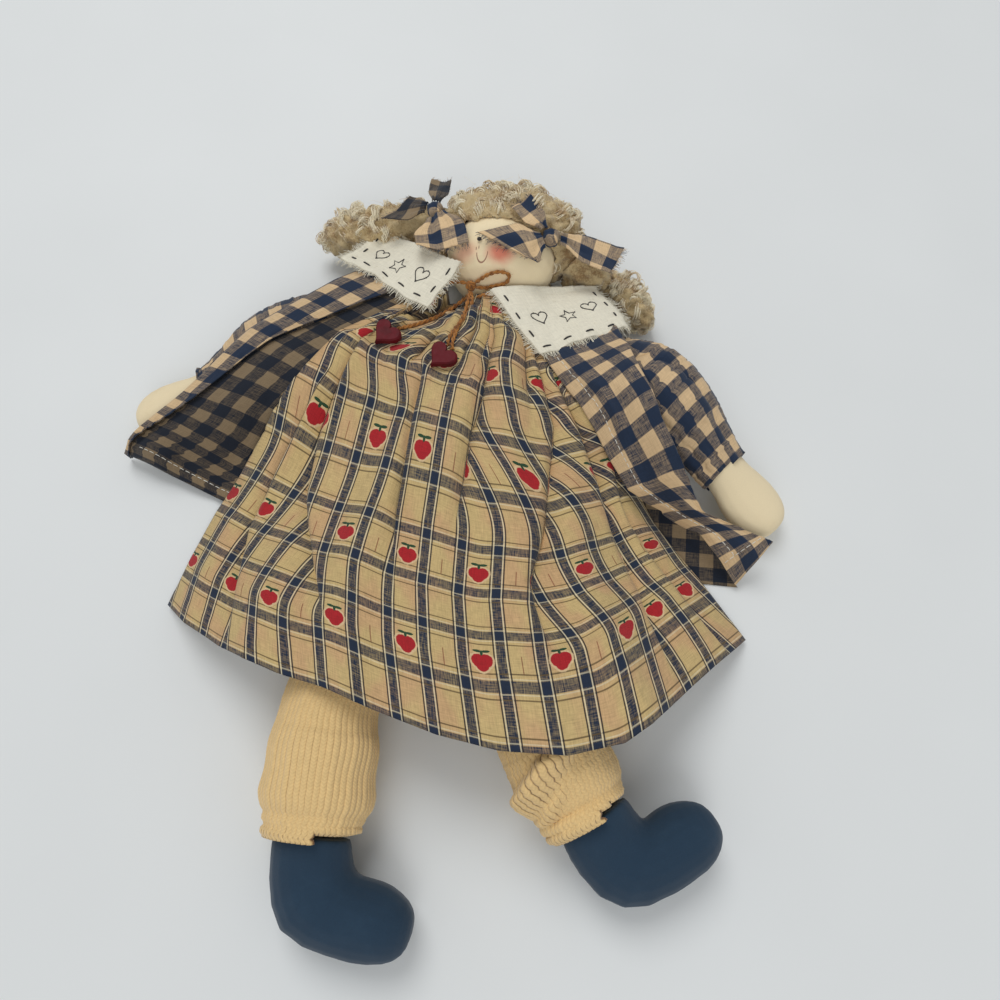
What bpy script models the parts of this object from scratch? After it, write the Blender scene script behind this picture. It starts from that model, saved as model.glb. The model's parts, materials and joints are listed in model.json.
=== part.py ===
"""A stuffed rag doll lying on its back, dressed in a gathered plaid dress and an open checked jacket.

The doll lies face up on the XY plane. Its feet point along -Y, its head along +Y, and its own left
arm along +X. The origin is under the middle of its back, where the jacket lies on the table.
Left and right are the doll's own.
"""
import math

import bmesh
import bpy
from mathutils import Vector
from mathutils.bvhtree import BVHTree

MM = 0.001

# Clearances: between pieces that touch, and between a draped cloth's grid and what it lies over.
GAP = 0.3 * MM
DRAPE_CLEARANCE = 0.4 * MM
TURN_CLEARANCE = 1.5 * MM
SKY = 200 * MM
LIFT_STEP = 0.15 * MM
LIFT_ROUNDS = 12
NOTCH_SIDES = 72
# How steeply each cloth drops past what holds it up, as a slope.
JACKET_DROP = 1.3
DRESS_DROP = 1.6
COLLAR_DROP = 0.45
RIBBON_DROP = 0.45

# Cloths
JACKET_CLOTH = 0.8 * MM
DRESS_CLOTH = 0.8 * MM
COLLAR_CLOTH = 1.0 * MM
RIBBON_CLOTH = 0.7 * MM
SLEEVE_CLOTH = 0.8 * MM
KNIT = 1.5 * MM

# Torso and neck. The back lies on the dress, and the dress lies on the jacket.
TORSO_LENGTH = 115 * MM
TORSO_BOTTOM_Y = -56 * MM
CHEST_HALF_WIDTH = 43 * MM
CHEST_HALF_DEPTH = 23 * MM
NECK_RADIUS = 13 * MM
NECK_LENGTH = 22 * MM
NECK_Z = 31 * MM
CAP_STEP = 1.5 * MM
# Along the torso, of its half width, of its half depth, and how far it rises to the neck's height.
TORSO_RING_SHARES = (
    (0.00, 0.62, 0.60, 0.00),
    (0.08, 0.90, 0.86, 0.00),
    (0.34, 1.00, 1.00, 0.00),
    (0.64, 0.96, 0.94, 0.00),
    (0.83, 1.14, 0.84, 0.12),
    (0.945, 1.16, 0.68, 0.34),
)

# Head. The two tables run from the chin to the crown.
HEAD_LENGTH = 54 * MM
HEAD_HALF_WIDTH = 33 * MM
HEAD_HALF_DEPTH = 27.5 * MM
HEAD_Z = 36 * MM
HEAD_RING_SHARES = (
    (0.00, 0.40, 0.44),
    (0.03, 0.46, 0.50),
    (0.13, 0.78, 0.80),
    (0.32, 0.97, 0.98),
    (0.55, 1.00, 1.00),
    (0.78, 0.82, 0.82),
    (0.93, 0.50, 0.50),
    (1.00, 0.20, 0.20),
)
EYE_RADIUS = 1.0 * MM
EYE_HEIGHT_Y = 101 * MM
EYE_SPACING = 6.5 * MM
FACE_MIDDLE_X = -8.5 * MM

# The rounded end of a limb: from its tip to its joint, and across, as shares of its radius.
ROOT_RING_SHARES = ((0.00, 0.30), (0.28, 0.74), (1.00, 1.00))

# Arms. Both are one length; each has the headings, in degrees, of its upper arm and forearm.
SHOULDER_X = 54 * MM
SHOULDER_Y = 58 * MM
SHOULDER_Z = 20 * MM
SHOULDER_RADIUS = 14 * MM
UPPER_ARM = 55 * MM
FOREARM = 90 * MM
HAND_HALF_LENGTH = 20 * MM
ARM_RADIUS = 12.5 * MM
WRIST_RADIUS = 10.5 * MM
WRIST_BEFORE_HAND = 24 * MM
HAND_HALF_WIDTH = 17.5 * MM
HAND_HALF_DEPTH = 10.5 * MM
HAND_Z = 11.2 * MM
RIGHT_ELBOW_Z = 21 * MM
LEFT_ELBOW_Z = 49 * MM
RIGHT_ARM_HEADINGS = (190, 213)
LEFT_ARM_HEADINGS = (-36, -41)
RIGHT_ARM_SWING = (-35, 5)
LEFT_ARM_SWING = (-5, 15)

# Sleeves, round the arms. Each has its puff's half width and half depth.
SLEEVE_START = 12 * MM
SLEEVE_HEAD_HALF_WIDTH = 17 * MM
RIGHT_SLEEVE_PUFF = (31 * MM, 17.5 * MM)
LEFT_SLEEVE_PUFF = (22 * MM, 20 * MM)
CUFF_HALF_WIDTH = 15.5 * MM
# Along the sleeve, and how far it swells from its head or its cuff to the full puff.
SLEEVE_PUFF_SHARES = ((0.00, 0.00), (0.14, 0.62), (0.36, 1.00), (0.62, 0.96), (0.84, 0.36), (0.93, 0.00), (1.00, 0.06))

# Legs. Each has the headings of its thigh and shin. The left one is drawn up at its soft knee.
HIP_X = 28 * MM
HIP_Y = -50 * MM
HIP_Z = 21 * MM
HIP_RADIUS = 18 * MM
THIGH = 108 * MM
RIGHT_SHIN = 60 * MM
LEFT_SHIN = 47 * MM
THIGH_RADIUS = 17 * MM
KNEE_RADIUS = 16 * MM
ANKLE_RADIUS = 15 * MM
RIGHT_KNEE_Z = 27.5 * MM
LEFT_KNEE_Z = 36 * MM
ANKLE_Z = 25.5 * MM
RIGHT_LEG_HEADINGS = (-106, -88)
LEFT_LEG_HEADINGS = (-80, -53)
RIGHT_LEG_SWING = (-15, 6)
LEFT_LEG_SWING = (-6, 15)

# Stockings: a slouched rib-knit tube from above the knee to the ankle.
STOCKING_ABOVE_KNEE = 20 * MM
STOCKING_TOP_RADIUS = 23.5 * MM
STOCKING_RADIUS = 26 * MM
STOCKING_FLATNESS = 0.93
SLOUCH_DEPTH = 1.2 * MM
SLOUCH_COUNT = 1.8
STOCKING_RINGS = 8
STOCKING_TUCK_SHARE = 0.88

# Shoes: stuffed cloth feet. Each ring is down from the ankle, across to the toe, its turn in
# degrees, and its half width and half depth, as shares of the shoe's size.
SHOE_SIZE = 50 * MM
SHOE_Z = 18 * MM
# How far each toe points down past the sole's level, as a share of how far it is from the heel.
RIGHT_TOE_DROP = 0.20
LEFT_TOE_DROP = 0.07
SHOE_RING_SHARES = (
    (0.000, 0.00, 0, 0.37, 0.31),
    (0.030, 0.00, 0, 0.37, 0.31),
    (0.340, 0.00, 6, 0.40, 0.34),
    (0.590, 0.10, 42, 0.47, 0.34),
    (0.600, 0.42, 78, 0.37, 0.34),
    (0.590, 0.72, 90, 0.35, 0.33),
    (0.585, 0.92, 92, 0.26, 0.25),
    (0.580, 1.02, 92, 0.12, 0.12),
)

# Dress: a front and a back, gathered at the neck and flared to the hem.
SKIRT_LENGTH = 235 * MM
DRESS_TOP_Y = 62 * MM
DRESS_TOP_HALF_WIDTH = 30 * MM
FOLD_DEPTH = 7 * MM
FOLD_COUNT = 7
DRESS_BACK_INSET = 4 * MM
# The skirt's side edges, from the neck to the hem corner, as shares of its length from the neck.
RIGHT_SIDE_SHARES = ((-0.106, -0.043), (-0.264, 0.051), (-0.357, 0.102), (-0.455, 0.217), (-0.557, 0.370), (-0.626, 0.502), (-0.660, 0.621), (-0.685, 0.736))
LEFT_SIDE_SHARES = ((0.106, -0.043), (0.213, 0.051), (0.281, 0.157), (0.357, 0.289), (0.434, 0.417), (0.490, 0.485), (0.545, 0.545), (0.655, 0.677))
# The hem, from its right corner to its left, as shares of the same length.
HEM_SHARES = (
    (-0.685, 0.736), (-0.591, 0.787), (-0.481, 0.834), (-0.336, 0.879), (-0.234, 0.898), (-0.123, 0.932), (-0.004, 0.962),
    (0.119, 0.979), (0.247, 0.974), (0.353, 0.940), (0.451, 0.857), (0.553, 0.762), (0.655, 0.677),
)

# Jacket: a back panel flat on the table, a closed left front, and a right front thrown open.
JACKET_LENGTH = 132 * MM
JACKET_TOP_Y = 64 * MM
JACKET_TOP_HALF_WIDTH = 60 * MM
JACKET_HEM_RIGHT = 112 * MM
JACKET_HEM_LEFT = 146 * MM
LEFT_FRONT_INNER_SHARES = ((0.190, 0.080), (0.250, 0.200), (0.394, 0.386), (0.530, 0.583), (0.629, 0.682), (0.780, 0.727), (0.939, 0.803), (1.121, 0.985))
LEFT_FRONT_OUTER_SHARES = ((0.500, -0.070), (0.545, 0.090), (0.598, 0.227), (0.712, 0.447), (0.841, 0.614), (0.939, 0.735), (1.114, 0.788), (1.235, 0.818))
RIGHT_FRONT_INNER_SHARES = ((-0.379, 0.015), (-0.576, 0.182), (-0.765, 0.409), (-0.955, 0.682), (-1.068, 0.848))
RIGHT_FRONT_FOLD_SHARES = ((-0.636, -0.235), (-0.856, -0.045), (-1.076, 0.129), (-1.303, 0.409), (-1.439, 0.561), (-1.553, 0.682))
FACING_WIDTH = 24 * MM
FACING_RISE = 3.0 * MM

# Collar: two oblong flaps, their long top edges folded and the other edges frayed.
COLLAR_LENGTH = 62 * MM
# Each flap's inner top, outer top, inner bottom and outer bottom corners, as shares of its length from the neck.
RIGHT_COLLAR_SHARES = ((-0.340, 0.144), (-1.225, 0.559), (-0.630, -0.341), (-1.530, 0.189))
LEFT_COLLAR_SHARES = ((0.035, -0.181), (0.920, 0.254), (0.455, -0.666), (1.280, -0.161))

# Twine round the neck, its knot, its loop, and the tails that carry the hearts.
TWINE_RADIUS = 1.1 * MM
NECK_TWINE_BEHIND_JOINT = 4.5 * MM
KNOT_RADIUS = 3.2 * MM
KNOT_PLACE = (-15 * MM, 81.5 * MM)
LOOP_LENGTH = 22 * MM
LOOP_HALF_WIDTH = 3.2 * MM
LOOP_HEADING = 8
RIGHT_TAIL_ROUTE = ((-20.5 * MM, 69 * MM), (-27 * MM, 66.5 * MM), (-37 * MM, 61.5 * MM), (-46 * MM, 56.5 * MM), (-54 * MM, 53 * MM))
LEFT_TAIL_ROUTE = ((-15.5 * MM, 71 * MM), (-16.5 * MM, 62 * MM), (-19 * MM, 51 * MM), (-20.5 * MM, 43 * MM), (-20 * MM, 38 * MM))
TAIL_DROP = 0.5
TAIL_POINTS = 13

# Wooden hearts, swinging on the twine at their clefts.
HEART_WIDTH = 16.5 * MM
HEART_THICKNESS = 5 * MM
HEART_EDGE = 0.9 * MM
HEART_HEADING = 52
CLEFT_CLEARANCE = 1.4 * MM
HEART_SWING = (-25, 25)

# Hair: a mass of curls over the crown and a bunch on each side.
CROWN_CENTRE = (3 * MM, 124 * MM, 32 * MM)
CROWN_RADII = (46 * MM, 29 * MM, 32 * MM)
NAPE_CENTRE = (2 * MM, 107 * MM, 11 * MM)
NAPE_RADII = (30 * MM, 22 * MM, 11 * MM)
RIGHT_BUNCH_CENTRE = (-71 * MM, 133.5 * MM, 18 * MM)
RIGHT_BUNCH_RADII = (45 * MM, 15 * MM, 18 * MM)
RIGHT_BUNCH_HEADING = 14
LEFT_BUNCH_CENTRE = (49 * MM, 112 * MM, 27 * MM)
LEFT_BUNCH_RADII = (19 * MM, 13 * MM, 15 * MM)
LEFT_BUNCH_HEADING = -10
LEFT_CURLS_CENTRE = (76.5 * MM, 101.5 * MM, 14 * MM)
LEFT_CURLS_RADII = (24 * MM, 10 * MM, 13 * MM)
LEFT_CURLS_HEADING = -42
CURL_DEPTH_SHARE = 0.07
CURL_COUNT = 5
NECK_TURN = (-20, 20)

# Torn strips tied round the bunches: each leaf runs from its knot, in plan, with its width.
RIBBON_WIDTH = 18 * MM
RIBBON_NARROW = 12 * MM
BOW_KNOT_RADIUS = 5 * MM
RIGHT_BOW_KNOT = (-41 * MM, 127 * MM)
LEFT_BOW_KNOT = (28 * MM, 108 * MM)
RIGHT_BOW_LEAVES = (
    ("bow_right_lower", -59, 23 * MM, RIBBON_WIDTH),
    ("bow_right_outer", 158, 28 * MM, RIBBON_NARROW),
    ("bow_right_tip", 96, 27 * MM, RIBBON_NARROW),
)
LEFT_BOW_LEAVES = (
    ("bow_left_face", 203, 25 * MM, RIBBON_WIDTH),
    ("bow_left_upper", 150, 22 * MM, RIBBON_NARROW),
    ("bow_left_outer", 5, 34 * MM, RIBBON_NARROW),
)
LEAF_BOW_SHARE = 0.12

# Colours as base colour and roughness.
MUSLIN = ((0.76, 0.62, 0.38), 0.9)
PLAID = ((0.56, 0.42, 0.22), 0.9)
CHECK = ((0.05, 0.09, 0.16), 0.9)
OSNABURG = ((0.78, 0.72, 0.56), 0.95)
RIB_KNIT = ((0.75, 0.55, 0.25), 0.95)
NAVY_COTTON = ((0.03, 0.09, 0.17), 0.9)
JUTE = ((0.42, 0.22, 0.06), 0.9)
CURL = ((0.36, 0.27, 0.17), 0.95)
RED_WOOD = ((0.22, 0.01, 0.02), 0.45)
BLACK_THREAD = ((0.01, 0.01, 0.01), 0.6)

UP = Vector((0, 0, 1))
DOWN = -UP


def clear_scene():
    for piece in list(bpy.data.objects):
        bpy.data.objects.remove(piece, do_unlink=True)


def new_collection(name):
    made = bpy.data.collections.new(name)
    bpy.context.scene.collection.children.link(made)
    return made


clear_scene()
DOLL = new_collection("rag_doll")
CUTTERS = new_collection("cutters")


def material(name, finish):
    colour, roughness = finish
    made = bpy.data.materials.new(name)
    made.use_nodes = True
    shader = made.node_tree.nodes["Principled BSDF"]
    shader.inputs["Base Color"].default_value = (*colour, 1)
    shader.inputs["Roughness"].default_value = roughness
    shader.inputs["Metallic"].default_value = 0
    made.diffuse_color = (*colour, 1)
    return made


def piece(name, data, finish, joint=None, collection=DOLL):
    """A named object with its own material, carried by the empty on its joint's axis."""
    made = bpy.data.objects.new(name, data)
    collection.objects.link(made)
    data.materials.append(material(name, finish))
    if joint:
        made.parent = joint
        made.matrix_parent_inverse = joint.matrix_basis.inverted()
    if collection is CUTTERS:
        made.hide_render = True
        made.display_type = "WIRE"
    return made


def joint_empty(name, place):
    made = bpy.data.objects.new(name, None)
    made.location = place
    DOLL.objects.link(made)
    return made


def mesh_of(name, bm, smooth=True):
    bmesh.ops.recalc_face_normals(bm, faces=bm.faces)
    data = bpy.data.meshes.new(name)
    bm.to_mesh(data)
    bm.free()
    if smooth:
        data.shade_smooth()
    return data


def subdivided(made):
    rounding = made.modifiers.new("round", "SUBSURF")
    rounding.levels = 1
    rounding.render_levels = 1
    return made


def direction(heading):
    return Vector((math.cos(math.radians(heading)), math.sin(math.radians(heading)), 0))


def walk(start, steps):
    """The points of a limb: from its start, each step a plan heading, a length and the height it ends at."""
    points = [Vector(start)]
    for heading, length, end_z in steps:
        rise = end_z - points[-1].z
        level = math.sqrt(max(length * length - rise * rise, 0))
        points.append(points[-1] + direction(heading) * level + UP * rise)
    return points


def along(points, distance):
    """The point that lies a distance along a line of points, or past its last one."""
    for start, end in zip(points, points[1:]):
        length = (end - start).length
        if distance <= length or end is points[-1]:
            return start.lerp(end, distance / length)
        distance -= length


def rings_along(points, profile):
    """Rings square to a limb at each (distance, half width, half depth) of its profile."""
    total = profile[-1][0]
    rings = []
    for distance, half_width, half_depth in profile:
        ahead = along(points, min(distance + total / 20, total))
        behind = along(points, max(distance - total / 20, 0))
        way = (ahead - behind) * Vector((1, 1, 0))
        rings.append((along(points, distance), way.normalized(), half_width, half_depth))
    return rings


def swell(sides):
    """How much a cage ring is drawn out so that its subdivided surface has the ring's own size."""
    return 3 / (2 + math.cos(2 * math.pi / sides))


def ring_cage(bm, rings, sides):
    loops = []
    for centre, way, half_width, half_depth in rings:
        side = Vector((way.y, -way.x, 0))
        loop = []
        for turn in (2 * math.pi * k / sides for k in range(sides)):
            across = side * math.cos(turn) * half_width + UP * math.sin(turn) * half_depth
            loop.append(bm.verts.new(centre + across * swell(sides)))
        loops.append(loop)
    for near, far in zip(loops, loops[1:]):
        for k in range(sides):
            after = (k + 1) % sides
            bm.faces.new((near[k], near[after], far[after], far[k]))
    return loops


def stuffed(name, rings, sides, finish, joint=None, collection=DOLL):
    """A stuffed form: a cage of oval rings, closed at both ends and rounded by subdivision."""
    bm = bmesh.new()
    loops = ring_cage(bm, rings, sides)
    bm.faces.new(loops[0])
    bm.faces.new(loops[-1])
    return subdivided(piece(name, mesh_of(name, bm), finish, joint, collection))


def tube_shell(name, rings, sides, thickness, finish, joint):
    """An open tube of cloth or knit round a limb, thickened inwards."""
    bm = bmesh.new()
    ring_cage(bm, rings, sides)
    made = subdivided(piece(name, mesh_of(name, bm), finish, joint))
    wall = made.modifiers.new("cloth", "SOLIDIFY")
    wall.thickness = thickness
    wall.offset = -1
    return made


def evaluated_mesh(made):
    bpy.context.view_layer.update()
    graph = bpy.context.evaluated_depsgraph_get()
    return bpy.data.meshes.new_from_object(made.evaluated_get(graph))


def cut(made, cutter, operation="DIFFERENCE"):
    change = made.modifiers.new(cutter.name, "BOOLEAN")
    change.operation = operation
    change.object = cutter
    return made


class Cover:
    """What a cloth lies over: a finished piece, and the swing in plan that the cloth has to clear."""

    def __init__(self, made, pivot=(0, 0), swing=(0, 0), steps=1, extra=0):
        mesh = evaluated_mesh(made)
        place = made.matrix_world
        corners = [place @ v.co for v in mesh.vertices]
        self.tree = BVHTree.FromPolygons(corners, [tuple(p.vertices) for p in mesh.polygons])
        bpy.data.meshes.remove(mesh)
        self.pivot = Vector((*pivot, 0))
        low, high = swing
        self.turns = [math.radians(low + (high - low) * k / max(steps - 1, 1)) for k in range(steps)]
        self.extra = extra

    def top(self, x, y):
        highest = 0
        for turn in self.turns:
            arm = Vector((x, y, 0)) - self.pivot
            back = Vector((
                arm.x * math.cos(turn) + arm.y * math.sin(turn),
                arm.y * math.cos(turn) - arm.x * math.sin(turn),
                0,
            ))
            hit = self.tree.ray_cast(self.pivot + back + UP * SKY, DOWN)[0]
            if hit:
                highest = max(highest, hit.z + self.extra)
        return highest


def ball_seat(covers, place, radius):
    """The height of a ball's centre, over a place in plan, where it rests on the covers."""
    seat = 0
    for share in (0, 0.4, 0.7, 0.9, 1):
        for k in range(8):
            spot = Vector((place[0], place[1], 0)) + direction(45 * k) * radius * share
            rise = math.sqrt((radius + GAP) ** 2 - (radius * share) ** 2)
            seat = max(seat, max(cover.top(spot.x, spot.y) for cover in covers) + rise)
    return seat


def line_point(shares, share, origin, size):
    """A point of an outline given as shares of a size, counted down from an origin."""
    place = share * (len(shares) - 1)
    k = min(int(place), len(shares) - 2)
    near, far = Vector(shares[k]), Vector(shares[k + 1])
    at = near.lerp(far, place - k)
    return Vector((origin[0] + at.x * size, origin[1] - at.y * size, 0))


def smooth_step(share):
    share = min(max(share, 0), 1)
    return share * share * (3 - 2 * share)


def rest_heights(plan, covers, reach, clearance=DRAPE_CLEARANCE):
    """For each plan point, the height that clears every cover within reach of it."""
    around = [(0, 0)] + [
        (reach * math.cos(k * math.pi / 4), reach * math.sin(k * math.pi / 4)) for k in range(8)
    ]
    heights = []
    for row in plan:
        heights.append([
            max(cover.top(p.x + dx, p.y + dy) for cover in covers for dx, dy in around) + clearance
            for p in row
        ])
    return heights


def settle(plan, lowest, passes, steepest):
    """Cloth hung over those heights: level between what holds it up, and no steeper than it drops."""
    rows, columns = len(lowest), len(lowest[0])
    heights = [list(row) for row in lowest]
    for _ in range(rows + columns):
        for i in range(rows):
            for j in range(columns):
                for a, b in ((i - 1, j), (i + 1, j), (i, j - 1), (i, j + 1)):
                    if 0 <= a < rows and 0 <= b < columns:
                        drop = (plan[i][j] - plan[a][b]).length * steepest
                        heights[i][j] = max(heights[i][j], heights[a][b] - drop)
    held = [list(row) for row in heights]
    for _ in range(passes):
        last = [list(row) for row in heights]
        for i in range(rows):
            for j in range(1, columns - 1):
                beside = [last[i][j - 1], last[i][j + 1]]
                if 0 < i < rows - 1:
                    beside += [last[i - 1][j], last[i + 1][j]]
                heights[i][j] = max(held[i][j], sum(beside) / len(beside))
    return heights


def lift_clear(made, covers, reach):
    """Raise the parts of a cloth that would still cut into what it lies over."""
    for _ in range(LIFT_ROUNDS):
        mesh = evaluated_mesh(made)
        lowered = [v.co + DOWN * GAP / 2 for v in mesh.vertices]
        tree = BVHTree.FromPolygons(lowered, [tuple(p.vertices) for p in mesh.polygons])
        struck = {face for cover in covers for face, _ in tree.overlap(cover.tree)}
        centres = [mesh.polygons[face].center.copy() for face in struck]
        bpy.data.meshes.remove(mesh)
        if not centres:
            return
        for corner in made.data.vertices:
            if any((corner.co - at).length < reach for at in centres):
                corner.co.z += LIFT_STEP


def cloth(name, plan, heights, thickness, finish, joint=None, covers=()):
    """A sheet over a grid of points, thickened upwards from its underside."""
    rows, columns = len(plan), len(plan[0])
    bm = bmesh.new()
    bmesh.ops.create_grid(bm, x_segments=columns - 1, y_segments=rows - 1, size=1)
    bm.verts.ensure_lookup_table()
    for i in range(rows):
        for j in range(columns):
            bm.verts[i * columns + j].co = Vector((plan[i][j].x, plan[i][j].y, heights[i][j]))
    data = bpy.data.meshes.new(name)
    bm.to_mesh(data)
    bm.free()
    data.shade_smooth()
    if sum(face.normal.z for face in data.polygons) < 0:
        data.flip_normals()
    made = piece(name, data, finish, joint)
    wall = made.modifiers.new("cloth", "SOLIDIFY")
    wall.thickness = thickness
    wall.offset = 1
    lift_clear(made, covers, max((plan[0][0] - plan[1][1]).length, (plan[-1][0] - plan[-2][1]).length))
    return made


# The body in muslin: torso, head, arms and legs.
def torso_rings():
    rings = []
    for share, width_share, depth_share, lift in TORSO_RING_SHARES:
        half_depth = CHEST_HALF_DEPTH * depth_share
        z = (BACK_REST + half_depth) * (1 - lift) + NECK_Z * lift
        place = Vector((0, TORSO_BOTTOM_Y + TORSO_LENGTH * share, z))
        rings.append((place, Vector((0, 1, 0)), CHEST_HALF_WIDTH * width_share, half_depth))
    below_twine = NECK_Y - NECK_TWINE_BEHIND_JOINT - 2 * TWINE_RADIUS
    for y in (NECK_Y - NECK_LENGTH + CAP_STEP, below_twine, NECK_Y - CAP_STEP, NECK_Y):
        rings.append((Vector((0, y, NECK_Z)), Vector((0, 1, 0)), NECK_RADIUS, NECK_RADIUS))
    return rings


def make_torso():
    return stuffed("torso", torso_rings(), 12, MUSLIN)


def seat_limb(torso, limb, place, swing):
    """A notch in the torso's edge, as wide as the limb's stuffed end sweeps about its joint."""
    place = Vector(place)
    mesh = evaluated_mesh(limb)
    corners = [limb.matrix_world @ corner.co - place for corner in mesh.vertices]
    steps = [swing[0] + (swing[1] - swing[0]) * k / 4 for k in range(5)]
    reach = [0] * NOTCH_SIDES
    for edge in mesh.edges:
        one, other = (corners[k] for k in edge.vertices)
        for share in (0, 0.25, 0.5, 0.75):
            spot = one.lerp(other, share)
            heading = math.degrees(math.atan2(spot.y, spot.x))
            for step in steps:
                k = int((heading + step) % 360 * NOTCH_SIDES / 360) % NOTCH_SIDES
                reach[k] = max(reach[k], math.hypot(spot.x, spot.y))
    bpy.data.meshes.remove(mesh)
    bm = bmesh.new()
    levels = [[], []]
    for k in range(NOTCH_SIDES):
        spot = direction(360 * k / NOTCH_SIDES) * (max(reach[k], reach[k - 1]) + GAP) / math.cos(math.pi / NOTCH_SIDES)
        for level, z in zip(levels, (-SKY, SKY)):
            level.append(bm.verts.new(place + spot + UP * z))
    for k in range(NOTCH_SIDES):
        bm.faces.new((levels[0][k - 1], levels[0][k], levels[1][k], levels[1][k - 1]))
    bm.faces.new(reversed(levels[0]))
    bm.faces.new(levels[1])
    cut(torso, piece(limb.name + "_notch", mesh_of(limb.name + "_notch", bm, False), MUSLIN, None, CUTTERS))


def head_rings(grown=0):
    rings = []
    for share, width_share, depth_share in HEAD_RING_SHARES:
        place = Vector((0, NECK_Y + GAP + HEAD_LENGTH * share + (2 * share - 1) * grown, HEAD_Z))
        lift = 1 - smooth_step(share / HEAD_RING_SHARES[3][0])
        place.z = HEAD_Z + (NECK_Z - HEAD_Z) * lift
        rings.append((
            place, Vector((0, 1, 0)), HEAD_HALF_WIDTH * width_share + grown, HEAD_HALF_DEPTH * depth_share + grown
        ))
    return rings


def root_profile(radius):
    """The rounded end that a limb turns on: a ball round its joint."""
    return [(radius * along, radius * across, radius * across) for along, across in ROOT_RING_SHARES]


def arm_points(side, headings, elbow_z):
    shoulder = Vector((side * SHOULDER_X, SHOULDER_Y, SHOULDER_Z))
    back = shoulder - direction(headings[0]) * SHOULDER_RADIUS
    points = walk(shoulder, ((headings[0], UPPER_ARM, elbow_z), (headings[1], FOREARM, HAND_Z)))
    tip = points[-1] + direction(headings[1]) * HAND_HALF_LENGTH
    return [back] + points + [tip]


def arm_profile():
    elbow = SHOULDER_RADIUS + UPPER_ARM
    hand = elbow + FOREARM
    wrist = hand - WRIST_BEFORE_HAND
    tip = hand + HAND_HALF_LENGTH
    return root_profile(SHOULDER_RADIUS) + [
        (elbow, ARM_RADIUS, ARM_RADIUS),
        (wrist, WRIST_RADIUS, WRIST_RADIUS),
        (hand - HAND_HALF_LENGTH / 2, 0.95 * HAND_HALF_WIDTH, HAND_HALF_DEPTH),
        (hand + HAND_HALF_LENGTH / 3, HAND_HALF_WIDTH, HAND_HALF_DEPTH),
        (hand + 0.8 * HAND_HALF_LENGTH, 0.72 * HAND_HALF_WIDTH, 0.75 * HAND_HALF_DEPTH),
        (tip, 0.3 * HAND_HALF_WIDTH, 0.35 * HAND_HALF_DEPTH),
    ]


def sleeve_rings(points, puffed):
    cuff = SHOULDER_RADIUS + UPPER_ARM + FOREARM - WRIST_BEFORE_HAND
    start = SHOULDER_RADIUS + SLEEVE_START
    profile = []
    for share, puff in SLEEVE_PUFF_SHARES:
        head_end = share < 0.5
        width = SLEEVE_HEAD_HALF_WIDTH if head_end else CUFF_HALF_WIDTH
        depth = (SHOULDER_RADIUS if head_end else WRIST_RADIUS) + 2 * GAP + SLEEVE_CLOTH
        profile.append((
            start + (cuff - start) * share,
            width + (puffed[0] - width) * puff,
            depth + (puffed[1] - depth) * puff,
        ))
    return rings_along(points, profile)


def leg_points(side, headings, shin, knee_z):
    hip = Vector((side * HIP_X, HIP_Y, HIP_Z))
    back = hip - direction(headings[0]) * HIP_RADIUS
    return [back] + walk(hip, ((headings[0], THIGH, knee_z), (headings[1], shin, ANKLE_Z)))


def leg_profile(shin):
    knee = HIP_RADIUS + THIGH
    ankle = knee + shin
    return root_profile(HIP_RADIUS) + [
        (HIP_RADIUS + THIGH / 2, THIGH_RADIUS, THIGH_RADIUS),
        (knee, KNEE_RADIUS, KNEE_RADIUS),
        (ankle - CAP_STEP, ANKLE_RADIUS, ANKLE_RADIUS),
        (ankle, ANKLE_RADIUS, ANKLE_RADIUS),
    ]


def stocking_rings(points, shin):
    start = HIP_RADIUS + THIGH - STOCKING_ABOVE_KNEE
    end = HIP_RADIUS + THIGH + shin - CAP_STEP
    tuck = ANKLE_RADIUS + GAP + KNIT
    profile = []
    for k in range(STOCKING_RINGS):
        share = k / (STOCKING_RINGS - 1)
        radius = STOCKING_TOP_RADIUS + (STOCKING_RADIUS - STOCKING_TOP_RADIUS) * smooth_step(1.4 * share)
        radius -= SLOUCH_DEPTH * (0.5 - 0.5 * math.cos(2 * math.pi * SLOUCH_COUNT * share))
        tucked = smooth_step((share - STOCKING_TUCK_SHARE) / (1 - STOCKING_TUCK_SHARE))
        radius += (tuck - radius) * tucked
        profile.append((start + (end - start) * share, radius, max(radius * STOCKING_FLATNESS, tuck)))
    return rings_along(points, profile)


def shoe_rings(ankle, heading, toe_drop):
    """Rings on from the ankle, down past the heel, then round to the toe."""
    rings = []
    droop = math.degrees(math.atan(toe_drop))
    for down, across, turn, width, depth in SHOE_RING_SHARES:
        away = direction(heading) * (GAP + (down + toe_drop * across) * SHOE_SIZE)
        place = ankle + away + direction(heading + 90) * across * SHOE_SIZE
        place.z += (SHOE_Z - ankle.z) * smooth_step(down / SHOE_RING_SHARES[2][0])
        bend = turn - droop * smooth_step(turn / SHOE_RING_SHARES[-1][2])
        rings.append((place, direction(heading + bend), width * SHOE_SIZE, depth * SHOE_SIZE))
    return rings


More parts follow.
